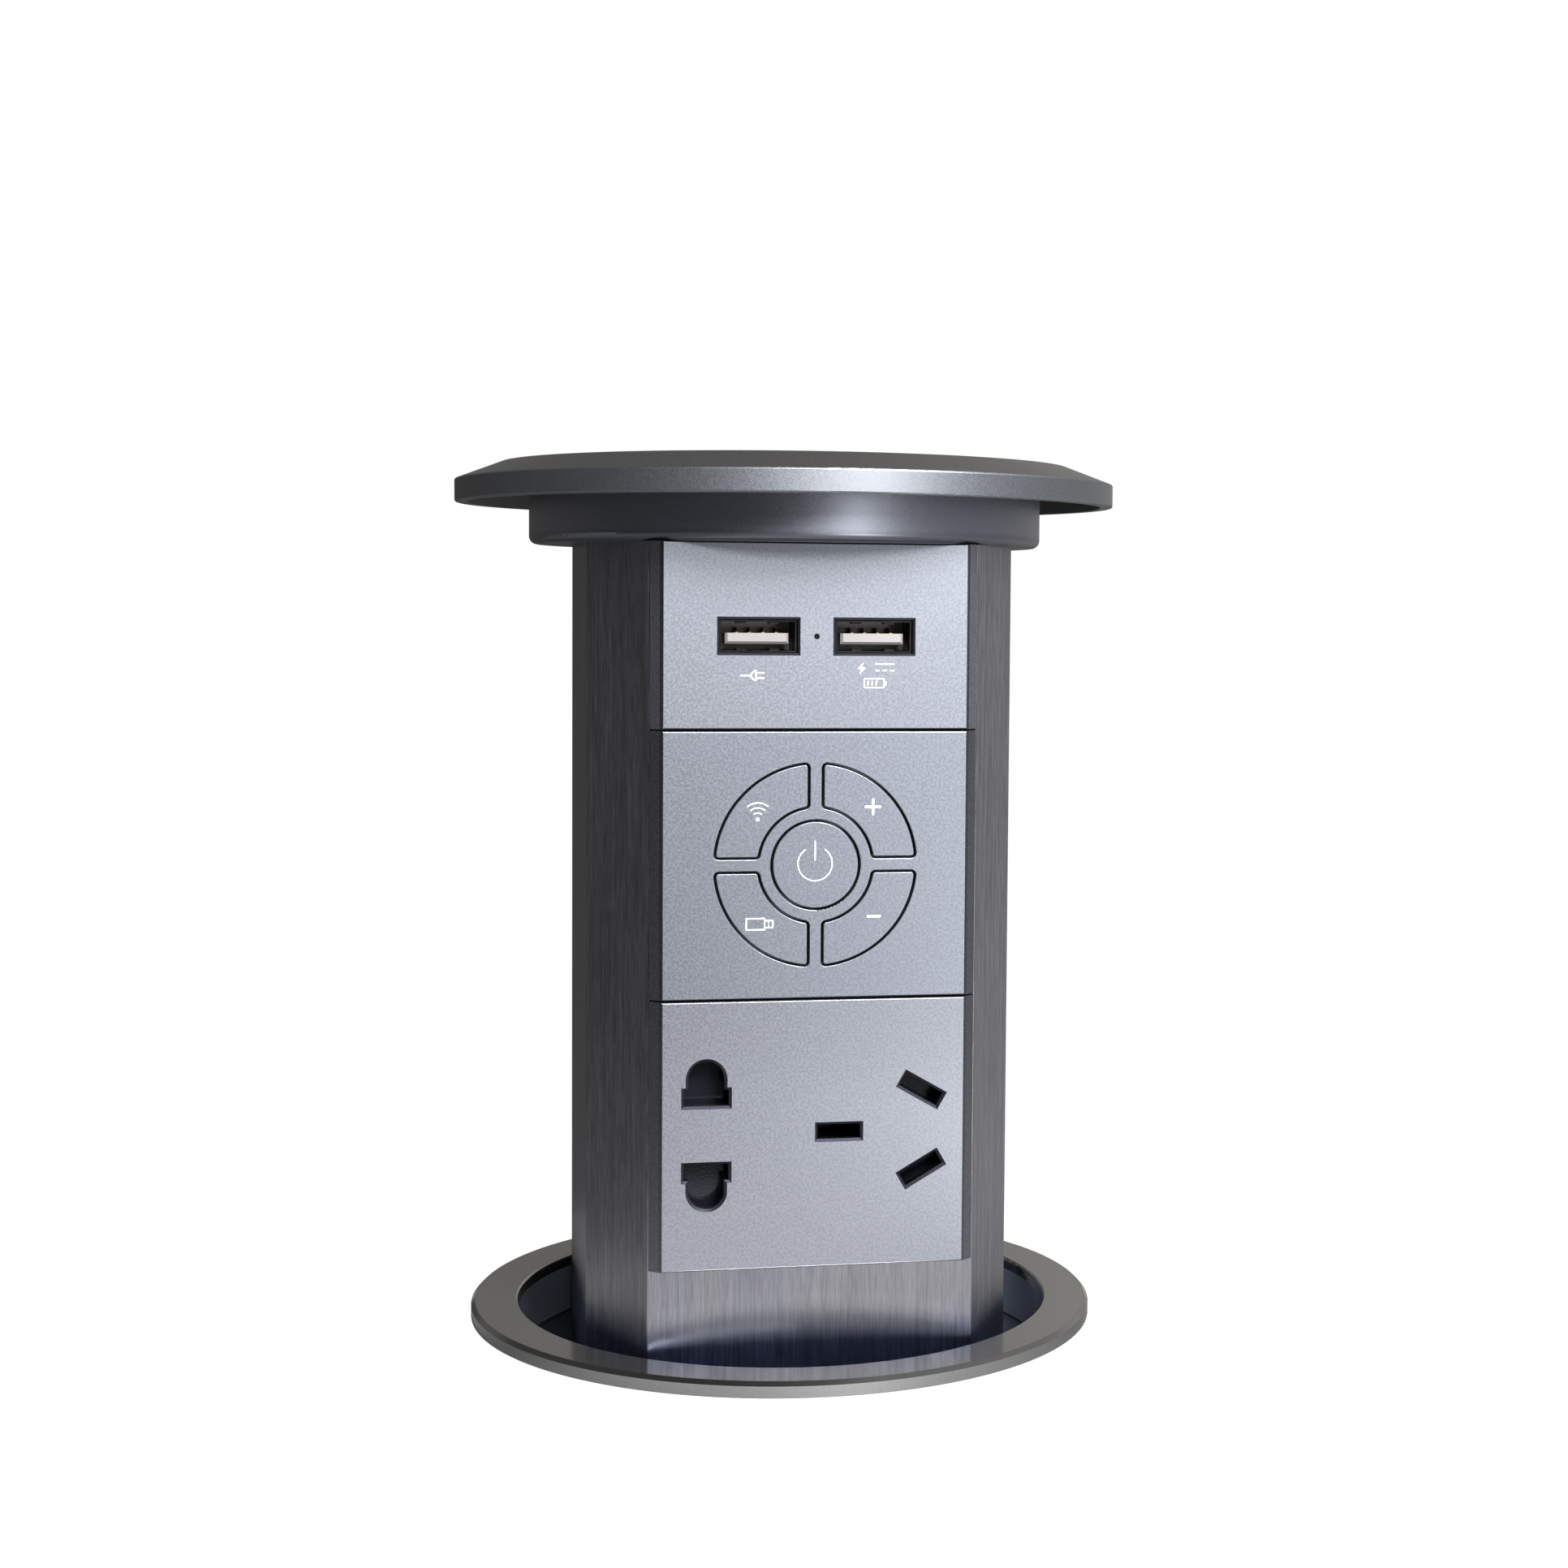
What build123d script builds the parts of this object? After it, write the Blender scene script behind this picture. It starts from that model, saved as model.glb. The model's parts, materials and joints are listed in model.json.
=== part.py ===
"""Pop-up desk socket: a lidded tower that rises on a gas spring through a ring in a desk.

Frame: +Z up along the tower's axis, the front panels face -Y, and the origin is on the axis
at the top surface of the desk, where the ring's underside rests. The tower is raised.
"""

from build123d import *
import os
from math import cos, radians, sin, sqrt

os.makedirs("parts", exist_ok=True)

# Gaps that several pieces share
sliding_gap = 0.3
seat_gap = 0.1
running_gap = 0.05
cut_overrun = 1.0
hex_sides = 6

# Travel of the tower and the levels of the shut lid above the desk
tower_travel = 147.2
shut_lid_gap = 0.5

# Tower outline: an octagon that is wider than deep
tower_half_width = 37.5
tower_side_half = 21.0
tower_front = 36.5
tower_front_half = 28.15
tower_wall = 2.0
tower_edge_round = 0.35
port_radius = 3.2
port_hole_radius = 1.55
port_x = 33.0
port_y = 15.5
window_half_width = 25.0
window_sill = 2.5

# Heights of the panels on the tower
panel_bottom = 16.85
lower_seam = 63.0
upper_seam = 108.7
seam_gap = 0.28

# Front and rear panels
panel_proud = 2.0
panel_half_width = 25.9
panel_edge_round = 0.3
panel_end_inset = 0.2
panel_end_step = 0.25
rib_wall = 1.2
boss_radius = 2.2
board_thickness = 1.6

# Small screws of the boards and modules
small_screw_radius = 0.9
small_head_radius = 1.9
small_head_height = 1.2
small_screw_reach = 4.5

# Desk ring
ring_radius = 56.9
ring_height = 2.7
ring_bore_radius = 48.4
ring_neck_wall = 1.1
ring_neck_depth = 8.0
ring_seat_height = 0.4
ring_edge_chamfer = 0.7
ring_bore_round = 0.5

# Barrel under the desk
barrel_wall = 3.0
barrel_lower_wall = 2.0
barrel_step = 0.6
barrel_land = 14.0
thread_length = 60.0
thread_pitch = 4.0
thread_crest_share = 0.35
key_rib_width = 4.0
key_rib_height = 1.2

# Clamp nut and its washer
desk_thickness = 25.0
washer_thickness = 2.0
washer_border = 2.5
nut_height = 12.0
nut_wall = 5.6
nut_lug_height = 3.0
nut_lug_width = 7.0
nut_lug_count = 8
nut_edge_round = 0.8

# Tower foot
foot_height = 30.0
foot_pocket_depth = 5.7
foot_web = 4.0
foot_skirt_wall = 3.3
foot_relief_depth = 0.8
foot_relief_height = 14.0
foot_cable_radius = 6.0
foot_cable_place = (24.0, -12.0)
foot_screw_radius = 1.5
foot_head_radius = 2.8
foot_head_height = 2.0
foot_screw_length = 14.0

# Barrel floor
floor_clearance = 1.5
floor_plate = 5.0
floor_rim_height = 10.0
floor_rim_wall = 5.5
floor_screw_radius = 1.5
floor_screw_head_radius = 2.7
floor_screw_length = 6.0
floor_screw_count = 4

# Gas spring
cylinder_radius = 7.0
cylinder_wall = 1.05
cylinder_bottom_drop = 18.0
gland_length = 10.0
piston_length = 8.0
piston_rest_gap = 0.5
piston_top_gap = 1.3
rod_radius = 3.0
rod_shoulder_radius = 5.0
rod_shoulder_height = 2.0
rod_nut_flats = 10.0
rod_nut_height = 3.8
rod_thread_spare = 0.7
stud_radius = 4.0
stud_length = 7.7

# Latch that holds the tower down
latch_y = 27.0
latch_base_thickness = 1.5
latch_half_length = 14.0
latch_cheek_inner = 4.6
latch_cheek_wall = 1.5
latch_cheek_height = 18.0
latch_pivot_x = 8.0
latch_pivot_height = 6.0
latch_pin_radius = 1.25
jaw_half_width = 4.3
jaw_eye_radius = 2.6
jaw_arm_inner = 6.6
jaw_arm_outer = 8.9
jaw_hook_reach = 2.6
jaw_hook_bottom = 8.6
jaw_hook_top = 11.2
jaw_open_angle = 16.0
striker_neck_radius = 2.0
striker_head_radius = 4.2
striker_head_height = 3.2
striker_hook_gap = 0.4
striker_thread_length = 3.6

# Mains entry and terminal block
gland_x = 30.0
inlet_thread_radius = 6.0
inlet_flange_flats = 16.0
inlet_flange_height = 4.0
inlet_dome_radius = 6.8
inlet_dome_length = 9.0
inlet_dome_round = 2.5
inlet_cable_radius = 3.6
inlet_inner_length = 4.0
terminal_y = -28.0
terminal_size = (24.0, 9.0, 11.0)
terminal_pitch = 7.5
terminal_wire_radius = 1.6
terminal_screw_radius = 1.9
terminal_screw_depth = 3.0

# Lid and its collar
lid_radius = 59.6
lid_rim_bottom = 147.7
lid_rim_height = 4.0
lid_top_height = 3.15
lid_top_radius = 51.35
lid_recess = 3.0
lid_lip_width = 2.2
lid_edge_round = 0.35
lid_spigot_depth = 3.0
lid_spigot_wall = 1.6
collar_radius = 46.4
collar_bottom = 140.3
collar_floor = 3.5
collar_wall = 2.4
collar_edge_round = 1.4
collar_boss_radius = 8.0
collar_screw_length = 13.0

# USB module
usb_x = 9.85
usb_aperture_width = 13.3
usb_aperture_height = 5.7
usb_aperture_chamfer = 0.4
usb_shell_width = 13.1
usb_shell_height = 5.5
usb_shell_wall = 0.3
usb_shell_length = 14.0
usb_shell_set_back = 0.9
usb_tab_width = 1.6
usb_tab_height = 0.35
usb_tab_length = 3.5
usb_tab_x = 2.8
tongue_width = 10.8
tongue_thickness = 1.84
tongue_drop = 0.42
tongue_set_back = 2.5
tongue_edge = 0.42
insulator_set_back = 7.5
contact_width = 1.0
contact_thickness = 0.15
contact_pitch = 2.25
contact_count = 4
contact_set_back = 3.1
contact_slot_height = 0.9
contact_slot_depth = 1.5
usb_board_front = 34.5
usb_board_rear = 14.0
usb_rib_rear = 16.0
usb_ledge_width = 1.5
led_hole_radius = 0.48
led_pipe_radius = 0.42
led_pipe_set_back = 0.2
led_body_radius = 1.5
led_body_length = 3.0
led_leg = 0.5

# Control module
key_outer_radius = 17.25
key_inner_radius = 9.8
key_spacing = 2.4
key_corner_radius = 0.7
key_edge_round = 0.2
power_key_radius = 7.5
key_line = 0.3
key_flange = 0.75
key_flange_thickness = 1.1
key_flange_gap = 0.1
key_stem_radius = 1.6
key_stem_length = 1.3
key_travel = 0.5
key_rest_gap = 0.1
control_rib_depth = 5.5
switch_size = 6.0
switch_body_height = 3.0
switch_plunger_radius = 1.7
switch_plunger_height = 0.4
control_board_half_width = 23.0
control_board_end_gap = 2.35
control_screw_inset = 2.7
chip_size = (9.0, 2.0, 9.0)
chip_x = 11.0

# Socket module
socket_body_half_width = 24.7
socket_body_wall = 1.2
socket_body_end_gap = 0.6
shutter_set_back = 4.7
shutter_thickness = 1.5
socket_body_rear = 16.5
contact_strip_thickness = 0.8
socket_cover_thickness = 2.0
socket_screw_inset = 3.0
socket_pillar_radius = 2.4
two_pin_x = -18.36
flat_pin_half_pitch = 6.35
two_pin_slab_width = 7.6
two_pin_slab_height = 2.7
round_pin_offset = 3.2
round_pin_radius = 3.05
three_pin_x = 18.62
three_pin_half_pitch = 6.86
earth_offset = 14.27
blade_slot_length = 7.35
blade_slot_height = 2.45
blade_slot_turn = 30.0
slot_edge_chamfer = 0.5
clip_length = 11.0
clip_wall = 0.8
clip_gap = 1.4
clip_width = 6.4
clip_pocket_gap = 0.4
strip_height = 4.0
earth_tail_length = 12.0
two_pin_shutter_width = 9.1
two_pin_shutter_half_height = 13.4
two_pin_shutter_travel = 9.2
three_pin_shutter_width = 8.9
three_pin_shutter_half_height = 10.4
three_pin_shutter_travel = 7.0
three_pin_shutter_window = 6.9
three_pin_shutter_rise = 0.15
three_pin_shutter_rail = 1.6
shutter_track_wall = 1.2

# Speaker module at the rear
grille_hole_radius = 1.1
grille_pitch = 4.0
grille_rings = 4
grille_ring_step = 6
speaker_plate_half = 21.5
speaker_plate_thickness = 1.5
speaker_mouth_radius = 18.6
speaker_neck_radius = 9.5
speaker_basket_depth = 10.0
speaker_basket_wall = 0.9
speaker_cone_gap = 0.6
speaker_cone_wall = 0.5
speaker_cone_neck_radius = 6.0
speaker_surround_radius = 1.2
speaker_magnet_radius = 14.0
speaker_magnet_depth = 8.0
speaker_magnet_round = 0.8
speaker_screw = 18.7

# Power board behind the rear blank panel
power_board_half_width = 23.0
power_board_half_height = 18.0
power_board_stand_off = 9.0
power_screw_x = 20.5
power_screw_z = 15.5
transformer_size = (16.0, 13.0, 15.0)
transformer_place = (-10.0, 3.0)
transformer_band = 1.2
capacitor_radius = 4.0
capacitor_length = 12.0
capacitor_places = ((7.0, 10.0), (7.0, -1.0), (16.0, 8.0))
heat_sink_size = (14.0, 9.0, 2.0)
heat_sink_place = (6.0, -13.0)

# Levels and places worked out from the sizes above
panel_face = tower_front + panel_proud
module_half_width = window_half_width - seat_gap
foot_top = -(ring_neck_depth + sliding_gap)
foot_bottom = foot_top - foot_height
profile_bottom = foot_top - foot_pocket_depth
web_bottom = profile_bottom - foot_web
barrel_bore_radius = ring_bore_radius + ring_neck_wall + seat_gap
barrel_radius = barrel_bore_radius + barrel_wall
barrel_lower_radius = barrel_bore_radius + barrel_lower_wall
foot_radius = barrel_bore_radius - sliding_gap
clamp_bore_radius = barrel_radius + sliding_gap
nut_radius = clamp_bore_radius + nut_wall
nut_lug_radius = nut_radius + nut_lug_height
washer_radius = nut_radius + washer_border
floor_top = foot_bottom - tower_travel - floor_clearance
barrel_bottom = floor_top - floor_rim_height
cylinder_bottom = web_bottom - cylinder_bottom_drop
piston_bottom = cylinder_bottom + gland_length + piston_rest_gap
cylinder_bore_radius = cylinder_radius - cylinder_wall
cylinder_bore_top = piston_bottom + piston_length + tower_travel + piston_top_gap
latch_pivot_level = floor_top + latch_pivot_height
collar_top = lid_rim_bottom + lid_recess
usb_height = (upper_seam + collar_bottom) / 2
keypad_height = (lower_seam + upper_seam) / 2
socket_height = (lower_seam + panel_bottom) / 2 + seam_gap / 2
window_bottom = panel_bottom + window_sill
socket_body_bottom = window_bottom + socket_body_end_gap
socket_body_top = lower_seam - seam_gap / 2 - socket_body_end_gap
socket_body_middle = (socket_body_top + socket_body_bottom) / 2
three_pin_left = three_pin_x - three_pin_shutter_width / 2 - three_pin_shutter_rail
socket_screw_x = three_pin_left - shutter_track_wall - socket_pillar_radius
socket_screw_z = (socket_body_top - socket_body_bottom) / 2 - socket_screw_inset
control_board_half_height = (upper_seam - lower_seam) / 2 - control_board_end_gap
control_screw_x = control_board_half_width - control_screw_inset
control_screw_z = control_board_half_height - control_screw_inset
speaker_height = (lower_seam + collar_bottom) / 2
power_height = (lower_seam + panel_bottom) / 2
earth_x = three_pin_x - earth_offset
control_board_front = (
    tower_front
    - key_flange_gap
    - key_flange_thickness
    - key_stem_length
    - key_travel
    - key_rest_gap
    - switch_plunger_height
    - switch_body_height
)
shutter_front = panel_face - shutter_set_back
socket_block_front = shutter_front - shutter_thickness - sliding_gap
usb_board_top = usb_height - usb_shell_height / 2


def finish(piece, name):
    """Label a finished piece and write its file."""
    piece.part.label = name
    export_step(piece.part, f"parts/{name}.step")


def tower_octagon():
    """Corner points of the tower's outline, all round."""
    quarter = [(tower_half_width, tower_side_half), (tower_front_half, tower_front)]
    left = [(-x, y) for x, y in reversed(quarter)]
    lower = [(x, -y) for x, y in reversed(quarter + left)]
    return quarter + left + lower


def port_places():
    """The four screw ports inside the tower profile."""
    return [(x, y) for x in (-port_x, port_x) for y in (-port_y, port_y)]


def corners(x, z):
    """Four places, one in each corner of a rectangle about the centre."""
    return [(side * x, end * z) for side in (-1, 1) for end in (-1, 1)]


def radial_planes(radius, height, count):
    """Planes around the axis that face outward, the first half a step round from +X."""
    planes = []
    for index in range(count):
        angle = radians((index + 1 / 2) * 360 / count)
        out = Vector(cos(angle), sin(angle), 0)
        planes.append(Plane(origin=out * radius + Vector(0, 0, height), x_dir=(0, 0, 1), z_dir=out))
    return planes


def countersunk(planes, shank, head, length):
    """Countersunk screw shapes, their heads flush with the planes and their shanks behind."""
    with BuildPart() as screws:
        for plane in planes:
            with BuildSketch(plane):
                Circle(head)
            with BuildSketch(plane.offset(shank - head)):
                Circle(shank)
            loft()
            with BuildSketch(plane):
                Circle(shank)
            extrude(amount=-length)
    return screws.part


# Desk ring: a flat trim ring with a seat for the barrel's top and a neck that drops into it
with BuildPart() as desk_ring:
    with BuildSketch(Plane.XZ) as ring_section:
        with BuildLine():
            Polyline(
                (ring_bore_radius, -ring_neck_depth),
                (ring_bore_radius + ring_neck_wall, -ring_neck_depth),
                (ring_bore_radius + ring_neck_wall, ring_seat_height),
                (barrel_radius + running_gap, ring_seat_height),
                (barrel_radius + running_gap, 0),
                (ring_radius, 0),
                (ring_radius, ring_height),
                (ring_bore_radius, ring_height),
                close=True,
            )
        make_face()
        top_corners = ring_section.vertices().group_by(Axis.Y)[-1].sort_by(Axis.X)
        chamfer(top_corners[-1], ring_edge_chamfer)
        fillet(top_corners[0], ring_bore_round)
    revolve(axis=Axis.Z)
finish(desk_ring, "desk_ring")


def barrel_outline():
    """Half section of the barrel, with a ridge for each turn of its thread."""
    crest = thread_pitch * thread_crest_share
    slope = (thread_pitch - 2 * crest) / 2
    points = [
        (barrel_bore_radius, ring_seat_height),
        (barrel_radius - barrel_step, ring_seat_height),
        (barrel_radius - barrel_step, 0),
        (barrel_radius, 0),
        (barrel_radius, -barrel_land),
    ]
    for turn in range(int(thread_length / thread_pitch)):
        start = -barrel_land - turn * thread_pitch
        points += [
            (barrel_lower_radius, start - slope),
            (barrel_lower_radius, start - slope - crest),
            (barrel_radius, start - 2 * slope - crest),
            (barrel_radius, start - thread_pitch),
        ]
    thread_end = points[-1][1]
    points += [
        (barrel_lower_radius, thread_end - slope),
        (barrel_lower_radius, barrel_bottom),
        (barrel_bore_radius, barrel_bottom),
    ]
    return points


floor_screw_planes = radial_planes(
    barrel_lower_radius, floor_top - floor_rim_height / 2, floor_screw_count
)

# Barrel: the tube under the desk, threaded outside for the clamp nut
with BuildPart() as housing_barrel:
    with BuildSketch(Plane.XZ):
        with BuildLine():
            Polyline(*barrel_outline(), close=True)
        make_face()
    revolve(axis=Axis.Z)
    with BuildSketch(Plane.XY.offset(floor_top)):
        with Locations((-barrel_bore_radius, 0), (barrel_bore_radius, 0)):
            Rectangle(2 * key_rib_height, key_rib_width)
    extrude(amount=-ring_neck_depth - seat_gap - floor_top)
    add(
        countersunk(
            floor_screw_planes,
            floor_screw_radius + seat_gap,
            floor_screw_head_radius + seat_gap,
            2 * barrel_lower_wall,
        ),
        mode=Mode.SUBTRACT,
    )
finish(housing_barrel, "housing_barrel")

# Floor of the barrel, a shallow cup that is open below
with BuildPart() as housing_floor:
    with BuildSketch(Plane.XY.offset(floor_top)):
        Circle(barrel_bore_radius - seat_gap)
    extrude(amount=-floor_rim_height)
    with BuildSketch(Plane.XY.offset(barrel_bottom)):
        Circle(barrel_bore_radius - seat_gap - floor_rim_wall)
    extrude(amount=floor_rim_height - floor_plate, mode=Mode.SUBTRACT)
    with BuildSketch(Plane.XY.offset(floor_top)):
        Circle(rod_radius + seat_gap)
        with Locations((gland_x, 0)):
            Circle(inlet_thread_radius + seat_gap)
    extrude(amount=-floor_plate - cut_overrun, mode=Mode.SUBTRACT)
    with Locations(*floor_screw_planes):
        Hole(floor_screw_radius + running_gap, depth=floor_screw_length + seat_gap)
finish(housing_floor, "housing_floor")

# Screws that hold the floor in the barrel, countersunk from outside
with BuildPart() as floor_screws:
    add(
        countersunk(
            floor_screw_planes, floor_screw_radius, floor_screw_head_radius, floor_screw_length
        )
    )
finish(floor_screws, "floor_screws")

# Gas spring rod, with a shoulder that stands on the floor
with BuildPart() as gas_rod:
    rod_end = floor_top - floor_plate - rod_nut_height - rod_thread_spare
    with BuildSketch(Plane.XY.offset(rod_end)):
        Circle(rod_radius)
    extrude(amount=piston_bottom + piston_length - rod_end)
    with BuildSketch(Plane.XY.offset(floor_top)):
        Circle(rod_shoulder_radius)
    extrude(amount=rod_shoulder_height)
finish(gas_rod, "gas_rod")

# Piston on the rod's top end, inside the cylinder
with BuildPart() as gas_piston:
    with BuildSketch(Plane.XY.offset(piston_bottom)):
        Circle(cylinder_bore_radius - running_gap)
        Circle(rod_radius, mode=Mode.SUBTRACT)
    extrude(amount=piston_length)
finish(gas_piston, "gas_piston")

# Nut under the floor that holds the rod
with BuildPart() as rod_nut:
    with BuildSketch(Plane.XY.offset(floor_top - floor_plate)):
        RegularPolygon(rod_nut_flats / 2, hex_sides, major_radius=False)
        Circle(rod_radius + running_gap, mode=Mode.SUBTRACT)
    extrude(amount=-rod_nut_height)
finish(rod_nut, "rod_nut")

# Gas spring cylinder, which rises with the tower, and its stud into the collar
with BuildPart() as gas_cylinder:
    with BuildSketch(Plane.XY.offset(cylinder_bottom)):
        Circle(cylinder_radius)
    extrude(amount=collar_bottom - cylinder_bottom)
    with BuildSketch(Plane.XY.offset(cylinder_bottom)):
        Circle(cylinder_bore_radius)
    extrude(amount=cylinder_bore_top - cylinder_bottom, mode=Mode.SUBTRACT)
    with BuildSketch(Plane.XY.offset(collar_bottom)):
        Circle(stud_radius)
    extrude(amount=stud_length)
finish(gas_cylinder, "gas_cylinder")

# Rod guide and seal in the cylinder's lower end
with BuildPart() as gas_seal:
    with BuildSketch(Plane.XY.offset(cylinder_bottom)):
        Circle(cylinder_bore_radius - running_gap)
        Circle(rod_radius + running_gap, mode=Mode.SUBTRACT)
    extrude(amount=gland_length)
finish(gas_seal, "gas_seal")

# Latch bracket on the floor: a base with two cheeks and a pin through them for each jaw
with BuildPart() as latch_bracket:
    cheek_middle = latch_cheek_inner + latch_cheek_wall / 2
    with BuildSketch(Plane.XY.offset(floor_top)):
        with Locations((0, latch_y)):
            Rectangle(2 * latch_half_length, 2 * (latch_cheek_inner + latch_cheek_wall))
    extrude(amount=latch_base_thickness)
    with BuildSketch(Plane.XY.offset(floor_top)):
        with Locations((0, latch_y - cheek_middle), (0, latch_y + cheek_middle)):
            Rectangle(2 * latch_half_length, latch_cheek_wall)
    extrude(amount=latch_cheek_height)
    with BuildSketch(Plane.XZ.offset(-latch_y)):
        with Locations((-latch_pivot_x, latch_pivot_level), (latch_pivot_x, latch_pivot_level)):
            Circle(latch_pin_radius + running_gap)
    extrude(amount=latch_cheek_inner + 2 * latch_cheek_wall, both=True, mode=Mode.SUBTRACT)
finish(latch_bracket, "latch_bracket")

# Pivot pins of the two jaws
with BuildPart() as latch_pins:
    with BuildSketch(Plane.XZ.offset(-latch_y)):
        with Locations((-latch_pivot_x, latch_pivot_level), (latch_pivot_x, latch_pivot_level)):
            Circle(latch_pin_radius)
    extrude(amount=latch_cheek_inner + latch_cheek_wall, both=True)
finish(latch_pins, "latch_pins")


def latch_jaw(side):
    """One jaw, hung on its pivot and opened outward. Side is 1 on the right and -1 on the left."""
    pivot = (side * latch_pivot_x, latch_pivot_level)
    arm_middle = side * (jaw_arm_inner + jaw_arm_outer) / 2
    hook_base = floor_top + latch_pivot_height + jaw_hook_bottom
    hook_length = jaw_arm_outer - jaw_hook_reach
    with BuildPart() as jaw:
        with BuildSketch(Plane.XZ.offset(-latch_y)):
            with Locations(pivot):
                Circle(jaw_eye_radius)
            with Locations((arm_middle, latch_pivot_level)):
                Rectangle(
                    jaw_arm_outer - jaw_arm_inner, jaw_hook_top, align=(Align.CENTER, Align.MIN)
                )
            with Locations((side * (jaw_hook_reach + hook_length / 2), hook_base)):
                Rectangle(hook_length, jaw_hook_top - jaw_hook_bottom, align=(Align.CENTER, Align.MIN))
            with Locations(pivot):
                Circle(latch_pin_radius + running_gap, mode=Mode.SUBTRACT)
        extrude(amount=jaw_half_width, both=True)
    hinge = Axis((pivot[0], latch_y, pivot[1]), (0, 1, 0))
    return jaw.part.rotate(hinge, side * jaw_open_angle)


# Jaws that close over the striker's head when the tower is pushed down
with BuildPart() as latch_jaw_left:
    add(latch_jaw(-1))
finish(latch_jaw_left, "latch_jaw_left")

with BuildPart() as latch_jaw_right:
    add(latch_jaw(1))
finish(latch_jaw_right, "latch_jaw_right")

# Striker under the tower foot: a neck with a head that the jaws hold
with BuildPart() as latch_striker:
    head_top = latch_pivot_level + jaw_hook_bottom + tower_travel - striker_hook_gap
    with BuildSketch(Plane.XY.offset(head_top - striker_head_height)):
        with Locations((0, latch_y)):
            Circle(striker_head_radius)
    extrude(amount=striker_head_height)
    chamfer(latch_striker.edges().sort_by(Axis.Z)[0], striker_head_height / 2)
    with BuildSketch(Plane.XY.offset(head_top)):
        with Locations((0, latch_y)):
            Circle(striker_neck_radius)
    extrude(amount=web_bottom + striker_thread_length - head_top)
finish(latch_striker, "latch_striker")

# Mains entry: a gland through the floor, with no cord in it
with BuildPart() as mains_gland:
    with BuildSketch(Plane.XY.offset(floor_top + inlet_inner_length)):
        with Locations((gland_x, 0)):
            Circle(inlet_thread_radius)
    extrude(amount=-inlet_inner_length - floor_plate)
    with BuildSketch(Plane.XY.offset(floor_top)):
        with Locations((gland_x, 0)):
            RegularPolygon(inlet_flange_flats / 2, hex_sides, major_radius=False)
    extrude(amount=inlet_inner_length - running_gap)
    with BuildSketch(Plane.XY.offset(floor_top - floor_plate)):
        with Locations((gland_x, 0)):
            RegularPolygon(inlet_flange_flats / 2, hex_sides, major_radius=False)
    extrude(amount=-inlet_flange_height)
    with BuildSketch(Plane.XY.offset(floor_top - floor_plate - inlet_flange_height)):
        with Locations((gland_x, 0)):
            Circle(inlet_dome_radius)
    extrude(amount=-inlet_dome_length)
    fillet(mains_gland.faces().sort_by(Axis.Z)[0].edges(), inlet_dome_round)
    with BuildSketch(Plane.XY.offset(floor_top + inlet_inner_length)):
        with Locations((gland_x, 0)):
            Circle(inlet_cable_radius)
    extrude(
        amount=-inlet_inner_length - floor_plate - inlet_flange_height - inlet_dome_length,
        mode=Mode.SUBTRACT,
    )
finish(mains_gland, "mains_gland")

# Terminal block where the mains lead joins the tower's wires
with BuildPart() as terminal_block:
    wire_level = floor_top + (terminal_size[2] - terminal_screw_depth) / 2
    with BuildSketch(Plane.XY.offset(floor_top)):
        with Locations((0, terminal_y)):
            Rectangle(terminal_size[0], terminal_size[1])
    extrude(amount=terminal_size[2])
    with BuildSketch(Plane.XZ.offset(-terminal_y)):
        with Locations((-terminal_pitch, wire_level), (0, wire_level), (terminal_pitch, wire_level)):
            Circle(terminal_wire_radius)
    extrude(amount=terminal_size[1], both=True, mode=Mode.SUBTRACT)
    with BuildSketch(Plane.XY.offset(floor_top + terminal_size[2])):
        with Locations((-terminal_pitch, terminal_y), (0, terminal_y), (terminal_pitch, terminal_y)):
            Circle(terminal_screw_radius)
    extrude(amount=-terminal_screw_depth, mode=Mode.SUBTRACT)
finish(terminal_block, "terminal_block")

# Washer that bears on the desk's underside
with BuildPart() as clamp_washer:
    with BuildSketch(Plane.XY.offset(-desk_thickness)):
        Circle(washer_radius)
        Circle(clamp_bore_radius, mode=Mode.SUBTRACT)
    extrude(amount=-washer_thickness)
finish(clamp_washer, "clamp_washer")

# Clamp nut: a ring with grip lugs that runs on the barrel's thread
with BuildPart() as clamp_nut:
    with BuildSketch(Plane.XY.offset(-desk_thickness - washer_thickness)):
        Circle(nut_radius)
        with PolarLocations(0, nut_lug_count):
            Rectangle(nut_lug_radius, nut_lug_width, align=(Align.MIN, Align.CENTER))
        Circle(clamp_bore_radius, mode=Mode.SUBTRACT)
    extrude(amount=-nut_height)
    fillet(clamp_nut.faces().sort_by(Axis.Z)[0].outer_wire().edges(), nut_edge_round)
finish(clamp_nut, "clamp_nut")

# Tower profile: an octagonal tube with a window at the front and at the rear
with BuildPart() as tower_profile:
    with BuildSketch(Plane.XY.offset(profile_bottom)) as profile_section:
        Polygon(*tower_octagon(), align=None)
        fillet(profile_section.vertices(), tower_edge_round)
        offset(amount=-tower_wall, kind=Kind.INTERSECTION, mode=Mode.SUBTRACT)
        with Locations(*port_places()):
            Circle(port_radius)
        with Locations(*port_places()):
            Circle(port_hole_radius, mode=Mode.SUBTRACT)
    extrude(amount=collar_bottom - profile_bottom)
    with BuildSketch(Plane.XY.offset(window_bottom)):
        with Locations((0, -tower_front), (0, tower_front)):
            Rectangle(2 * window_half_width, 2 * tower_wall + cut_overrun)
    extrude(amount=collar_bottom - window_bottom, mode=Mode.SUBTRACT)
finish(tower_profile, "tower_profile")

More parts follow.
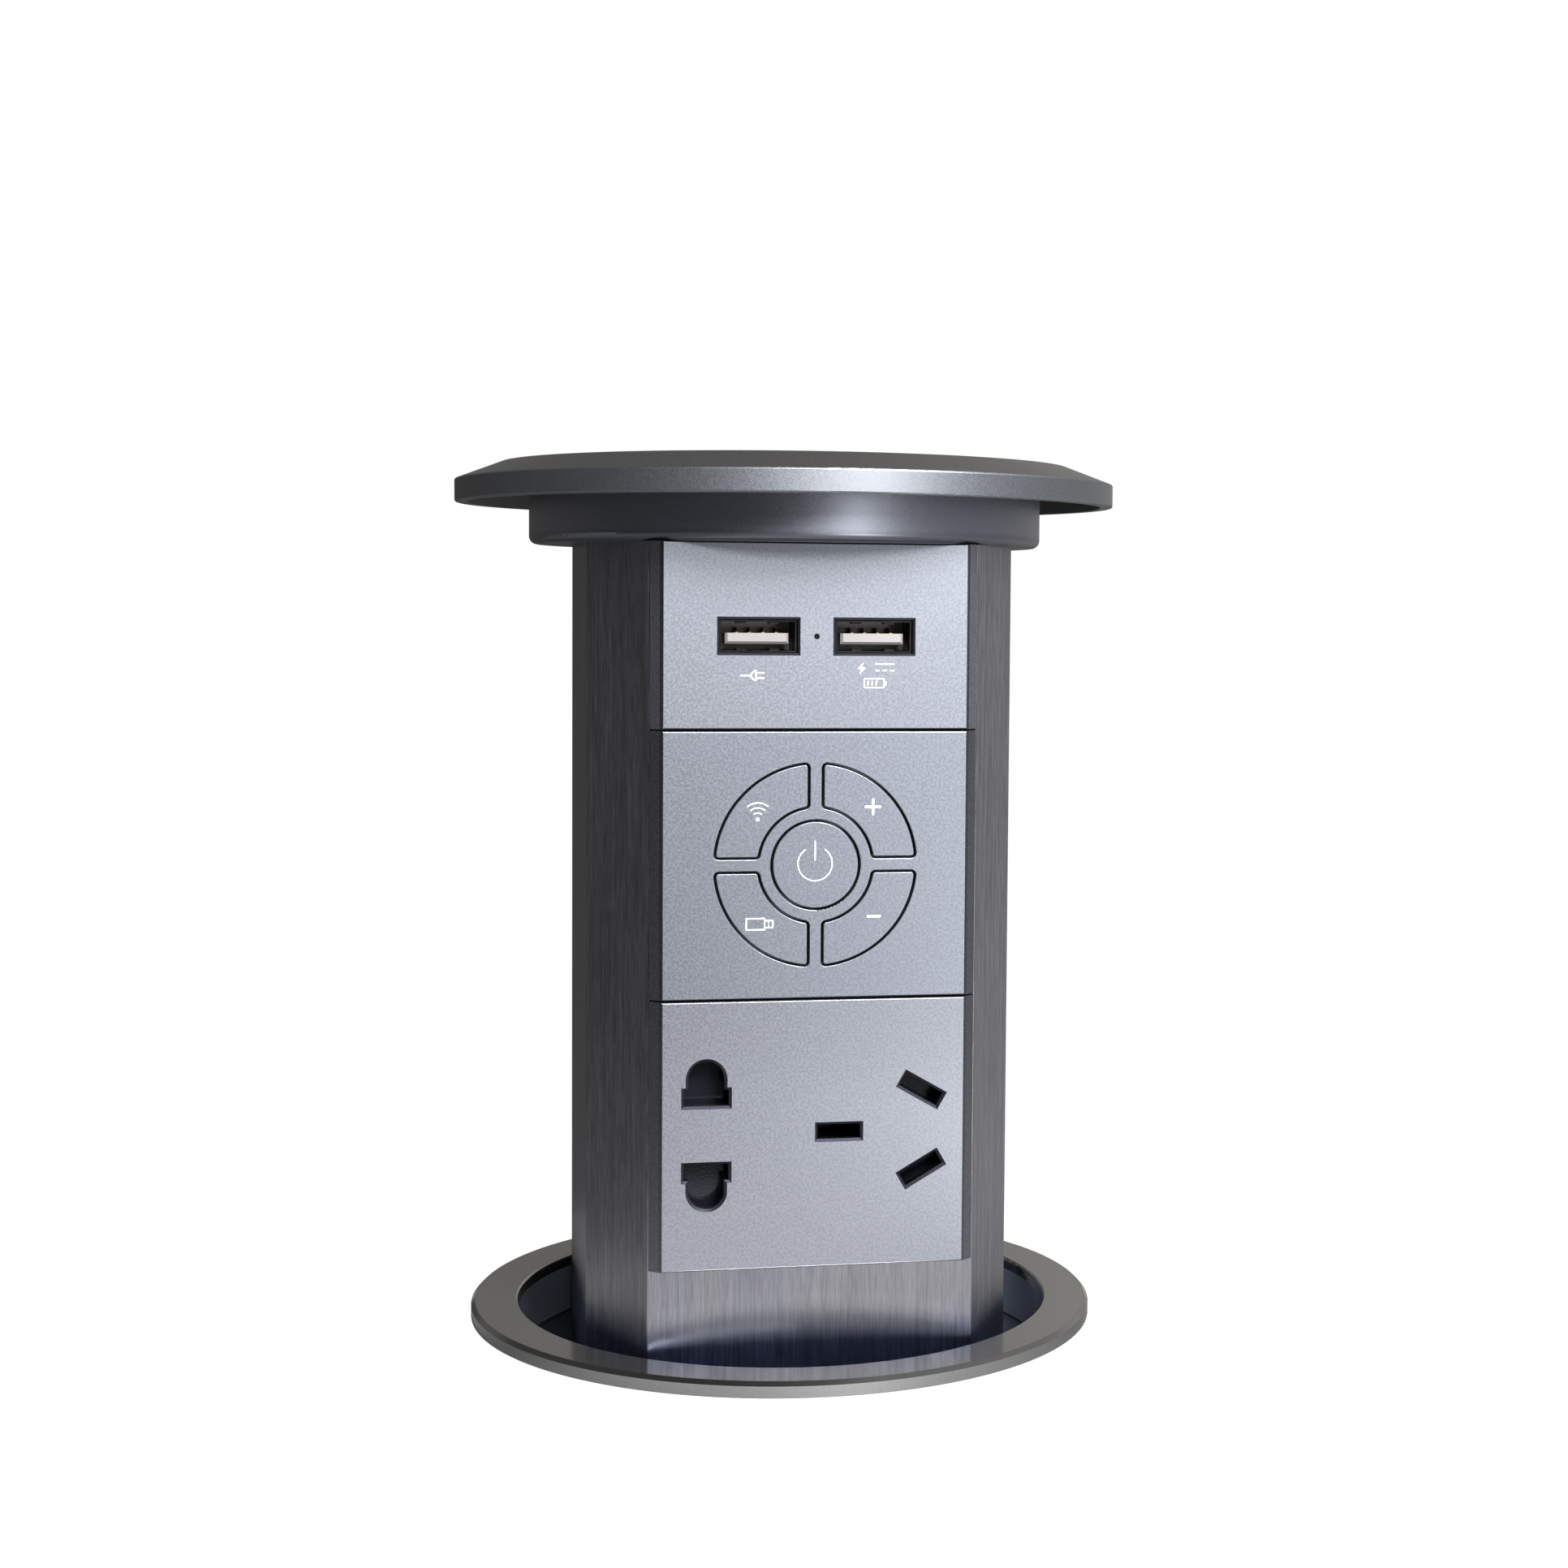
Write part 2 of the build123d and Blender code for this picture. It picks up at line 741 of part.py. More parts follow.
# Tower foot: slides in the barrel and stops under the ring's neck
with BuildPart() as tower_foot:
    with BuildSketch(Plane.XY.offset(foot_bottom)):
        Circle(foot_radius)
        with Locations((-foot_radius, 0), (foot_radius, 0)):
            Rectangle(
                2 * (key_rib_height + sliding_gap), key_rib_width + 2 * sliding_gap, mode=Mode.SUBTRACT
            )
    extrude(amount=foot_height)
    with BuildSketch(Plane.XY.offset(foot_top)):
        Polygon(*tower_octagon(), align=None)
        offset(amount=seat_gap, kind=Kind.INTERSECTION)
    extrude(amount=-foot_pocket_depth, mode=Mode.SUBTRACT)
    with BuildSketch(Plane.XY.offset(foot_bottom)):
        Circle(foot_radius - foot_skirt_wall)
    extrude(amount=web_bottom - foot_bottom, mode=Mode.SUBTRACT)
    with BuildSketch(Plane.XY.offset((foot_top + foot_bottom - foot_relief_height) / 2)):
        Circle(foot_radius + cut_overrun)
        Circle(foot_radius - foot_relief_depth, mode=Mode.SUBTRACT)
    extrude(amount=foot_relief_height, mode=Mode.SUBTRACT)
    with BuildSketch(Plane.XY.offset(profile_bottom)):
        Circle(cylinder_radius + seat_gap)
        with Locations(*port_places()):
            Circle(foot_screw_radius + seat_gap)
        with Locations(foot_cable_place):
            Circle(foot_cable_radius)
        with Locations((0, latch_y)):
            Circle(striker_neck_radius + running_gap)
    extrude(amount=-foot_web, mode=Mode.SUBTRACT)
finish(tower_foot, "tower_foot")

# Screws from below through the foot into the profile's ports
with BuildPart() as foot_screws:
    with BuildSketch(Plane.XY.offset(web_bottom)):
        with Locations(*port_places()):
            Circle(foot_head_radius)
    extrude(amount=-foot_head_height)
    with BuildSketch(Plane.XY.offset(web_bottom)):
        with Locations(*port_places()):
            Circle(foot_screw_radius)
    extrude(amount=foot_screw_length)
finish(foot_screws, "foot_screws")

collar_screw_planes = [
    Plane(origin=(x, y, collar_bottom + collar_floor)) for x, y in port_places()
]

# Collar: a cup that caps the tower and carries the lid
with BuildPart() as lid_collar:
    with BuildSketch(Plane.XY.offset(collar_bottom)):
        Circle(collar_radius)
    extrude(amount=collar_top - collar_bottom)
    fillet(lid_collar.edges().sort_by(Axis.Z)[0], collar_edge_round)
    with BuildSketch(Plane.XY.offset(collar_bottom + collar_floor)):
        Circle(collar_radius - collar_wall)
        Circle(collar_boss_radius, mode=Mode.SUBTRACT)
    extrude(amount=collar_top - collar_bottom - collar_floor, mode=Mode.SUBTRACT)
    with BuildSketch(Plane.XY.offset(collar_bottom)):
        Circle(stud_radius + running_gap)
    extrude(amount=stud_length + seat_gap, mode=Mode.SUBTRACT)
    add(
        countersunk(
            collar_screw_planes,
            foot_screw_radius + seat_gap,
            foot_head_radius + seat_gap,
            2 * collar_floor,
        ),
        mode=Mode.SUBTRACT,
    )
finish(lid_collar, "lid_collar")

# Countersunk screws from the collar into the profile's ports
with BuildPart() as collar_screws:
    add(
        countersunk(collar_screw_planes, foot_screw_radius, foot_head_radius, collar_screw_length)
    )
finish(collar_screws, "collar_screws")

# Lid: bevelled top, upright rim and a hollow below that closes over the ring
with BuildPart() as lid_cover:
    rim_top = lid_rim_bottom + lid_rim_height
    spigot_radius = collar_radius - collar_wall - seat_gap
    with BuildSketch(Plane.XZ) as lid_section:
        with BuildLine():
            Polyline(
                (0, collar_top),
                (spigot_radius - lid_spigot_wall, collar_top),
                (spigot_radius - lid_spigot_wall, collar_top - lid_spigot_depth),
                (spigot_radius, collar_top - lid_spigot_depth),
                (spigot_radius, collar_top),
                (lid_radius - lid_lip_width, collar_top),
                (lid_radius - lid_lip_width, lid_rim_bottom),
                (lid_radius, lid_rim_bottom),
                (lid_radius, rim_top),
                (lid_top_radius, rim_top + lid_top_height),
                (0, rim_top + lid_top_height),
                close=True,
            )
        make_face()
        outer_corners = lid_section.vertices().group_by(Axis.X)[-1]
        fillet(outer_corners, lid_edge_round)
        fillet(lid_section.vertices().group_by(Axis.Y)[-1].sort_by(Axis.X)[-1], lid_edge_round)
    revolve(axis=Axis.Z)
finish(lid_cover, "lid_cover")


def panel_blank(bottom, top):
    """A front panel before its openings: a raised plate with sloping flanks and thin ends."""
    end_x = tower_front_half - panel_end_inset
    with BuildPart() as blank:
        with BuildSketch(Plane.XY.offset(bottom)):
            with BuildLine():
                Polyline(
                    (-end_x, -tower_front),
                    (-end_x, -tower_front - panel_end_step),
                    (-panel_half_width, -panel_face),
                    (panel_half_width, -panel_face),
                    (end_x, -tower_front - panel_end_step),
                    (end_x, -tower_front),
                    close=True,
                )
            make_face()
        extrude(amount=top - bottom)
        fillet(blank.faces().sort_by(Axis.Y)[0].edges(), panel_edge_round)
    return blank.part


def opening_edges(panel):
    """Edges of the openings in a front panel's face."""
    return [edge for wire in panel.faces().sort_by(Axis.Y)[0].inner_wires() for edge in wire.edges()]


def side_ribs(bottom, top, depth):
    """Two ribs behind a front panel that sit against the sides of the window."""
    rib_middle = module_half_width - rib_wall / 2
    with BuildPart() as ribs:
        with BuildSketch(Plane.XY.offset(bottom)):
            with Locations((-rib_middle, -tower_front), (rib_middle, -tower_front)):
                Rectangle(rib_wall, depth, align=(Align.CENTER, Align.MIN))
        extrude(amount=top - bottom)
    return ribs.part


# USB panel with two ports, a light hole and ledges for its board
with BuildPart() as usb_panel:
    usb_bottom = upper_seam + seam_gap / 2
    rib_depth = tower_front - usb_rib_rear
    ledge_top = usb_board_top - board_thickness
    add(panel_blank(usb_bottom, collar_bottom))
    add(side_ribs(usb_bottom, collar_bottom, rib_depth))
    with BuildSketch(Plane.XY.offset(ledge_top)):
        ledge_x = module_half_width - rib_wall - usb_ledge_width / 2
        with Locations((-ledge_x, -tower_front), (ledge_x, -tower_front)):
            Rectangle(usb_ledge_width, rib_depth, align=(Align.CENTER, Align.MIN))
    extrude(amount=-rib_wall)
    with BuildSketch(Plane.XZ.offset(panel_face)):
        with Locations((-usb_x, usb_height), (usb_x, usb_height)):
            Rectangle(usb_aperture_width, usb_aperture_height)
        with Locations((0, usb_height)):
            Circle(led_hole_radius)
    extrude(amount=-panel_proud, mode=Mode.SUBTRACT)
    opening_wires = usb_panel.faces().sort_by(Axis.Y)[0].inner_wires()
    aperture_wires = [wire for wire in opening_wires if len(wire.edges()) > 1]
    chamfer([edge for wire in aperture_wires for edge in wire.edges()], usb_aperture_chamfer)
finish(usb_panel, "usb_panel")


def usb_shell(x):
    """Metal shell of one port, closed behind, with two spring tabs on its floor and roof."""
    shell_front = panel_face - usb_shell_set_back
    inner_width = usb_shell_width - 2 * usb_shell_wall
    inner_height = usb_shell_height - 2 * usb_shell_wall
    tab_level = (inner_height - usb_tab_height) / 2
    with BuildPart() as shell:
        with BuildSketch(Plane.XZ.offset(shell_front)):
            with Locations((x, usb_height)):
                Rectangle(usb_shell_width, usb_shell_height)
        extrude(amount=-usb_shell_length)
        with BuildSketch(Plane.XZ.offset(shell_front)):
            with Locations((x, usb_height)):
                Rectangle(inner_width, inner_height)
        extrude(amount=usb_shell_wall - usb_shell_length, mode=Mode.SUBTRACT)
        with BuildSketch(Plane.XZ.offset(shell_front - usb_tab_height)):
            with Locations((x, usb_height)):
                with Locations(*corners(usb_tab_x, tab_level)):
                    Rectangle(usb_tab_width, usb_tab_height)
        extrude(amount=-usb_tab_length)
    return shell.part


def usb_insulator(x):
    """Moulded tongue of one port on its rear block, with a slot above it for each contact."""
    inner_width = usb_shell_width - 2 * usb_shell_wall - 2 * running_gap
    inner_height = usb_shell_height - 2 * usb_shell_wall - 2 * running_gap
    block_front = panel_face - insulator_set_back
    block_rear = panel_face - usb_shell_set_back - usb_shell_length + usb_shell_wall
    tongue_height = usb_height - tongue_drop
    slot_height = tongue_height + (tongue_thickness + contact_slot_height) / 2
    with BuildPart() as insulator:
        with BuildSketch(Plane.XZ.offset(panel_face - tongue_set_back)):
            with Locations((x, tongue_height)):
                Rectangle(tongue_width, tongue_thickness)
        extrude(amount=tongue_set_back - insulator_set_back)
        chamfer(insulator.faces().sort_by(Axis.Y)[0].edges().sort_by(Axis.Z)[:-1], tongue_edge)
        with BuildSketch(Plane.XZ.offset(block_front)):
            with Locations((x, usb_height)):
                Rectangle(inner_width, inner_height)
        extrude(amount=block_rear - block_front)
        with BuildSketch(Plane.XZ.offset(block_front)):
            with Locations((x, slot_height)):
                with GridLocations(contact_pitch, 0, contact_count, 1):
                    Rectangle(contact_width, contact_slot_height)
        extrude(amount=-contact_slot_depth, mode=Mode.SUBTRACT)
    return insulator.part


# Metal shells of the two ports
with BuildPart() as usb_shell_left:
    add(usb_shell(-usb_x))
finish(usb_shell_left, "usb_shell_left")

with BuildPart() as usb_shell_right:
    add(usb_shell(usb_x))
finish(usb_shell_right, "usb_shell_right")

# Tongues of the two ports
with BuildPart() as usb_tongue_left:
    add(usb_insulator(-usb_x))
finish(usb_tongue_left, "usb_tongue_left")

with BuildPart() as usb_tongue_right:
    add(usb_insulator(usb_x))
finish(usb_tongue_right, "usb_tongue_right")

# Contact strips that lie on the tongues
with BuildPart() as usb_contacts:
    strip_bottom = usb_height - tongue_drop + tongue_thickness / 2
    with BuildSketch(Plane.XZ.offset(panel_face - contact_set_back)):
        for port in (-usb_x, usb_x):
            with Locations((port, strip_bottom)):
                with GridLocations(contact_pitch, 0, contact_count, 1):
                    Rectangle(contact_width / 2, contact_thickness, align=(Align.CENTER, Align.MIN))
    extrude(amount=contact_set_back - insulator_set_back - contact_slot_depth)
finish(usb_contacts, "usb_contacts")

# Board of the USB module, carried on the panel's ledges
with BuildPart() as usb_board:
    board_half_width = module_half_width - rib_wall - seat_gap
    with BuildSketch(Plane.XY.offset(usb_board_top)):
        with Locations((0, -usb_board_front)):
            Rectangle(
                2 * board_half_width,
                usb_board_front - usb_board_rear,
                align=(Align.CENTER, Align.MIN),
            )
    extrude(amount=-board_thickness)
finish(usb_board, "usb_board")

# Status light on the board, with a light pipe in the panel's small hole
with BuildPart() as status_led:
    with BuildSketch(Plane.XZ.offset(panel_face - led_pipe_set_back)):
        with Locations((0, usb_height)):
            Circle(led_pipe_radius)
    extrude(amount=led_pipe_set_back - panel_proud - seat_gap)
    with BuildSketch(Plane.XZ.offset(tower_front - seat_gap)):
        with Locations((0, usb_height)):
            Circle(led_body_radius)
    extrude(amount=-led_body_length)
    with BuildSketch(Plane.XY.offset(usb_board_top)):
        with Locations((0, led_body_length - tower_front + led_leg)):
            with GridLocations(led_body_radius, 0, 2, 1):
                Rectangle(led_leg, led_leg)
    extrude(amount=usb_height - usb_board_top)
finish(status_led, "status_led")


def key_outline(turn, grow):
    """Outline of one quadrant key about the keypad's centre, turned and grown by a gap."""
    with BuildSketch() as outline:
        Circle(key_outer_radius)
        Circle(key_inner_radius, mode=Mode.SUBTRACT)
        with Locations((key_spacing / 2, key_spacing / 2)):
            Rectangle(
                key_outer_radius,
                key_outer_radius,
                align=(Align.MIN, Align.MIN),
                mode=Mode.INTERSECT,
            )
        fillet(outline.vertices(), key_corner_radius)
        offset(amount=grow)
    return outline.sketch.rotate(Axis.Z, turn)


key_names = ("volume_up_button", "source_button", "input_button", "volume_down_button")
key_turns = {name: index * 360 / len(key_names) for index, name in enumerate(key_names)}
key_stem_place = (key_outer_radius + key_inner_radius) / 2 / sqrt(2)

# Control panel with openings for the five keys and posts for its board
with BuildPart() as control_panel:
    control_bottom = lower_seam + seam_gap / 2
    control_top = upper_seam - seam_gap / 2
    add(panel_blank(control_bottom, control_top))
    add(side_ribs(control_bottom, control_top, control_rib_depth))
    with BuildSketch(Plane.XZ.offset(tower_front)):
        with Locations((0, keypad_height)):
            with Locations(*corners(control_screw_x, control_screw_z)):
                Circle(boss_radius)
                Circle(small_screw_radius + running_gap, mode=Mode.SUBTRACT)
    extrude(amount=control_board_front - tower_front)
    with BuildSketch(Plane.XZ.offset(panel_face)):
        with Locations((0, keypad_height)):
            Circle(power_key_radius + key_line / 2)
            for turn in key_turns.values():
                add(key_outline(turn, key_line / 2))
    extrude(amount=-panel_proud, mode=Mode.SUBTRACT)
    fillet(opening_edges(control_panel), key_edge_round)
finish(control_panel, "control_panel")


def key_body(cap, flange, stem_place):
    """A key: its cap in the panel, a flange behind the panel and a stem to its switch."""
    flange_front = tower_front - key_flange_gap
    with BuildPart() as key:
        with BuildSketch(Plane.XZ.offset(panel_face)):
            with Locations((0, keypad_height)):
                add(cap)
        extrude(amount=-panel_proud - key_flange_gap)
        fillet(key.faces().sort_by(Axis.Y)[0].edges(), key_edge_round)
        with BuildSketch(Plane.XZ.offset(flange_front)):
            with Locations((0, keypad_height)):
                add(flange)
        extrude(amount=-key_flange_thickness)
        with BuildSketch(Plane.XZ.offset(flange_front - key_flange_thickness)):
            with Locations((0, keypad_height)):
                with Locations(stem_place):
                    Circle(key_stem_radius)
        extrude(amount=-key_stem_length)
    return key.part


def disc(radius):
    """A flat round outline."""
    with BuildSketch() as outline:
        Circle(radius)
    return outline.sketch


def quadrant_stem(turn):
    """Place of a quadrant key's stem from the keypad's centre."""
    return Vector(key_stem_place, key_stem_place, 0).rotate(Axis.Z, turn)


# Round power key in the middle
with BuildPart() as power_button:
    power_cap_radius = power_key_radius - key_line / 2
    add(key_body(disc(power_cap_radius), disc(power_cap_radius + key_flange), (0, 0)))
finish(power_button, "power_button")

# Quadrant keys round it
for key_name, turn in key_turns.items():
    with BuildPart() as quadrant_key:
        cap = key_outline(turn, -key_line / 2)
        flange = key_outline(turn, key_flange - key_line / 2)
        add(key_body(cap, flange, quadrant_stem(turn)))
    finish(quadrant_key, key_name)

# Control board
with BuildPart() as control_board:
    with BuildSketch(Plane.XZ.offset(control_board_front)):
        with Locations((0, keypad_height)):
            Rectangle(2 * control_board_half_width, 2 * control_board_half_height)
            with Locations(*corners(control_screw_x, control_screw_z)):
                Circle(small_screw_radius + seat_gap, mode=Mode.SUBTRACT)
    extrude(amount=-board_thickness)
finish(control_board, "control_board")

# Screws that hold the control board on the panel's posts
with BuildPart() as control_screws:
    screw_seat = Plane.XZ.offset(control_board_front - board_thickness)
    with BuildSketch(screw_seat):
        with Locations((0, keypad_height)):
            with Locations(*corners(control_screw_x, control_screw_z)):
                Circle(small_head_radius)
    extrude(amount=-small_head_height)
    with BuildSketch(screw_seat):
        with Locations((0, keypad_height)):
            with Locations(*corners(control_screw_x, control_screw_z)):
                Circle(small_screw_radius)
    extrude(amount=small_screw_reach)
finish(control_screws, "control_screws")

# Tact switches, one behind each key
with BuildPart() as tact_switches:
    switch_places = [(0, 0)] + [quadrant_stem(turn) for turn in key_turns.values()]
    with BuildSketch(Plane.XZ.offset(control_board_front)):
        with Locations((0, keypad_height)):
            with Locations(*switch_places):
                Rectangle(switch_size, switch_size)
    extrude(amount=switch_body_height)
    with BuildSketch(Plane.XZ.offset(control_board_front + switch_body_height)):
        with Locations((0, keypad_height)):
            with Locations(*switch_places):
                Circle(switch_plunger_radius)
    extrude(amount=switch_plunger_height)
finish(tact_switches, "tact_switches")

# Audio and radio chips on the back of the control board
with BuildPart() as control_chips:
    with BuildSketch(Plane.XZ.offset(control_board_front - board_thickness)):
        with Locations((-chip_x, keypad_height), (chip_x, keypad_height)):
            Rectangle(chip_size[0], chip_size[2])
    extrude(amount=-chip_size[1])
finish(control_chips, "control_chips")


def pin_openings(grow):
    """Outlines of the five pin holes about the socket's centre, grown by a gap."""
    blade = (blade_slot_length + 2 * grow, blade_slot_height + 2 * grow)
    with BuildSketch() as outline:
        for side in (-1, 1):
            with Locations((two_pin_x, side * flat_pin_half_pitch)):
                Rectangle(two_pin_slab_width + 2 * grow, two_pin_slab_height + 2 * grow)
            with Locations((two_pin_x, side * (flat_pin_half_pitch + round_pin_offset / 2))):
                Rectangle(2 * (round_pin_radius + grow), round_pin_offset)
            with Locations((two_pin_x, side * (flat_pin_half_pitch + round_pin_offset))):
                Circle(round_pin_radius + grow)
            with Locations((three_pin_x, side * three_pin_half_pitch)):
                Rectangle(*blade, rotation=-side * blade_slot_turn)
        with Locations((earth_x, 0)):
            Rectangle(*blade)
    return outline.sketch


# Socket panel with two-pin and three-pin openings
with BuildPart() as socket_panel:
    add(panel_blank(panel_bottom, lower_seam - seam_gap / 2))
    with BuildSketch(Plane.XZ.offset(panel_face)):
        with Locations((0, socket_height)):
            add(pin_openings(0))
    extrude(amount=-panel_proud, mode=Mode.SUBTRACT)
    with BuildSketch(Plane.XZ.offset(tower_front)):
        with Locations((0, socket_body_middle)):
            with Locations(*corners(socket_screw_x, socket_screw_z)):
                Circle(small_screw_radius + running_gap)
    extrude(amount=panel_proud / 2, mode=Mode.SUBTRACT)
    chamfer(opening_edges(socket_panel), slot_edge_chamfer)
finish(socket_panel, "socket_panel")


def clip_outlines(grow):
    """Outlines of the pin clips about the socket's centre, grown by a gap."""
    across = 2 * clip_wall + clip_gap + 2 * grow
    size = (clip_width + 2 * grow, across)
    with BuildSketch() as outline:
        for side in (-1, 1):
            with Locations((two_pin_x, side * (flat_pin_half_pitch + round_pin_offset / 2))):
                Rectangle(clip_width + 2 * grow, across + round_pin_offset)
            with Locations((three_pin_x, side * three_pin_half_pitch)):
                Rectangle(*size, rotation=-side * blade_slot_turn)
        with Locations((earth_x, 0)):
            Rectangle(*size)
    return outline.sketch


socket_inner_half_width = socket_body_half_width - socket_body_wall
two_pin_track = two_pin_shutter_half_height + sliding_gap

# Socket body: a tray for the shutters in front of a block with a pocket for each clip
with BuildPart() as socket_body:
    body_height = socket_body_top - socket_body_bottom
    with BuildSketch(Plane.XZ.offset(tower_front)):
        with Locations((0, socket_body_middle)):
            Rectangle(2 * socket_body_half_width, body_height)
    extrude(amount=socket_body_rear - tower_front)
    with BuildSketch(Plane.XZ.offset(tower_front)):
        with Locations((0, socket_body_middle)):
            Rectangle(2 * socket_inner_half_width, body_height - 2 * socket_body_wall)
    extrude(amount=socket_block_front - tower_front, mode=Mode.SUBTRACT)
    with BuildSketch(Plane.XZ.offset(tower_front)):
        with Locations((0, socket_height)):
            with Locations(*[(0, end * (two_pin_track + shutter_track_wall / 2)) for end in (-1, 1)]):
                with Locations((two_pin_x + two_pin_shutter_travel / 2, 0)):
                    Rectangle(two_pin_shutter_width + two_pin_shutter_travel, shutter_track_wall)
            with Locations((three_pin_left - sliding_gap - shutter_track_wall / 2, 0)):
                Rectangle(shutter_track_wall, 2 * two_pin_track + 2 * shutter_track_wall)
    extrude(amount=socket_block_front - tower_front)
    with BuildSketch(Plane.XZ.offset(socket_block_front)):
        with Locations((0, socket_height)):
            add(clip_outlines(clip_pocket_gap))
    extrude(amount=socket_body_rear - socket_block_front, mode=Mode.SUBTRACT)
    with BuildSketch(Plane.XZ.offset(tower_front)):
        with Locations((0, socket_body_middle)):
            with Locations(*corners(socket_screw_x, socket_screw_z)):
                Circle(small_screw_radius + running_gap)
    extrude(amount=socket_body_rear - tower_front, mode=Mode.SUBTRACT)
finish(socket_body, "socket_body")


def clip(center, turn, height, x_span):
    """A spring clip that grips one pin: two leaves and the web that joins them behind."""
    rear = Plane.XZ.offset(socket_body_rear)
    with BuildPart() as leaves:
        with BuildSketch(rear):
            with Locations((center[0], socket_height + center[1])):
                Rectangle(x_span, height, rotation=turn)
        extrude(amount=clip_length)
        with BuildSketch(rear.offset(clip_wall)):
            with Locations((center[0], socket_height + center[1])):
                Rectangle(x_span, height - 2 * clip_wall, rotation=turn)
        extrude(amount=clip_length, mode=Mode.SUBTRACT)
    return leaves.part


def pole_contact(side):
    """Clips of one pole for both sockets, joined by a strip behind the block."""
    across = 2 * clip_wall + clip_gap
    two_pin_level = side * (flat_pin_half_pitch + round_pin_offset / 2)
    with BuildPart() as contact:
        add(clip((two_pin_x, two_pin_level), 0, across + round_pin_offset, clip_width))
        blade_turn = -side * blade_slot_turn
        add(clip((three_pin_x, side * three_pin_half_pitch), blade_turn, across, clip_width))
        with BuildSketch(Plane.XZ.offset(socket_body_rear)):
            with Locations((0, socket_height + two_pin_level)):
                Rectangle(three_pin_x - two_pin_x + strip_height, strip_height)
        extrude(amount=-contact_strip_thickness)
    return contact.part


# Contacts: line above, neutral below and earth in the middle
with BuildPart() as line_contact:
    add(pole_contact(1))
finish(line_contact, "line_contact")

with BuildPart() as neutral_contact:
    add(pole_contact(-1))
finish(neutral_contact, "neutral_contact")

with BuildPart() as earth_contact:
    add(clip((earth_x, 0), 0, 2 * clip_wall + clip_gap, clip_width))
    with BuildSketch(Plane.XZ.offset(socket_body_rear)):
        with Locations((earth_x - earth_tail_length / 2, socket_height)):
            Rectangle(earth_tail_length + clip_width, 2 * clip_wall + clip_gap)
    extrude(amount=-contact_strip_thickness)
finish(earth_contact, "earth_contact")

# Cover behind the contacts, held by long screws into the socket panel
socket_cover_front = socket_body_rear - contact_strip_thickness
with BuildPart() as socket_cover:
    with BuildSketch(Plane.XZ.offset(socket_cover_front)):
        with Locations((0, socket_body_middle)):
            Rectangle(2 * socket_body_half_width, socket_body_top - socket_body_bottom)
    extrude(amount=-socket_cover_thickness)
    with BuildSketch(Plane.XZ.offset(socket_body_rear)):
        with Locations((0, socket_body_middle)):
            with Locations(*corners(socket_screw_x, socket_screw_z)):
                Circle(socket_pillar_radius)
    extrude(amount=-contact_strip_thickness)
    with BuildSketch(Plane.XZ.offset(socket_body_rear)):
        with Locations((0, socket_body_middle)):
            with Locations(*corners(socket_screw_x, socket_screw_z)):
                Circle(small_screw_radius + seat_gap)
    extrude(amount=-contact_strip_thickness - socket_cover_thickness, mode=Mode.SUBTRACT)
finish(socket_cover, "socket_cover")

with BuildPart() as socket_screws:
    socket_screw_seat = Plane.XZ.offset(socket_cover_front - socket_cover_thickness)
    with BuildSketch(socket_screw_seat):
        with Locations((0, socket_body_middle)):
            with Locations(*corners(socket_screw_x, socket_screw_z)):
                Circle(small_head_radius)
    extrude(amount=-small_head_height)
    with BuildSketch(socket_screw_seat):
        with Locations((0, socket_body_middle)):
            with Locations(*corners(socket_screw_x, socket_screw_z)):
                Circle(small_screw_radius)
    extrude(amount=tower_front + panel_proud / 2 - socket_cover_front + socket_cover_thickness)
finish(socket_screws, "socket_screws")

# Safety shutters behind the pin holes
with BuildPart() as two_pin_shutter:
    with BuildSketch(Plane.XZ.offset(shutter_front)):
        with Locations((two_pin_x, socket_height)):
            Rectangle(two_pin_shutter_width, 2 * two_pin_shutter_half_height)
    extrude(amount=-shutter_thickness)
finish(two_pin_shutter, "two_pin_shutter")

with BuildPart() as three_pin_shutter:
    with BuildSketch(Plane.XZ.offset(shutter_front)):
        with Locations((three_pin_x, socket_height)):
            with Locations((-three_pin_shutter_rail / 2, 0)):
                Rectangle(
                    three_pin_shutter_width + three_pin_shutter_rail, 2 * three_pin_shutter_half_height
                )
            with Locations((0, three_pin_shutter_rise)):
                Rectangle(three_pin_shutter_width, three_pin_shutter_window, mode=Mode.SUBTRACT)
    extrude(amount=-shutter_thickness)
finish(three_pin_shutter, "three_pin_shutter")


def grille_sketch():
    """Rings of round holes about the speaker's centre."""
    with BuildSketch() as holes:
        Circle(grille_hole_radius)
        for ring in range(1, grille_rings + 1):
            with PolarLocations(ring * grille_pitch, ring * grille_ring_step):
                Circle(grille_hole_radius)
    return holes.sketch


# Rear panel with the speaker's grille
with BuildPart() as speaker_panel:
    add(panel_blank(lower_seam + seam_gap / 2, collar_bottom).mirror(Plane.XZ))
    add(side_ribs(lower_seam + seam_gap / 2, collar_bottom, control_rib_depth).mirror(Plane.XZ))
    with BuildSketch(Plane.XZ.offset(-panel_face)):
        with Locations((0, speaker_height)):
            add(grille_sketch())
    extrude(amount=panel_proud, mode=Mode.SUBTRACT)
    with BuildSketch(Plane.XZ.offset(-tower_front)):
        with Locations((0, speaker_height)):
            with Locations(*corners(speaker_screw, speaker_screw)):
                Circle(small_screw_radius + running_gap)
    extrude(amount=-panel_proud / 2, mode=Mode.SUBTRACT)
finish(speaker_panel, "speaker_panel")

speaker_axis = Axis((0, 0, speaker_height), (0, 1, 0))

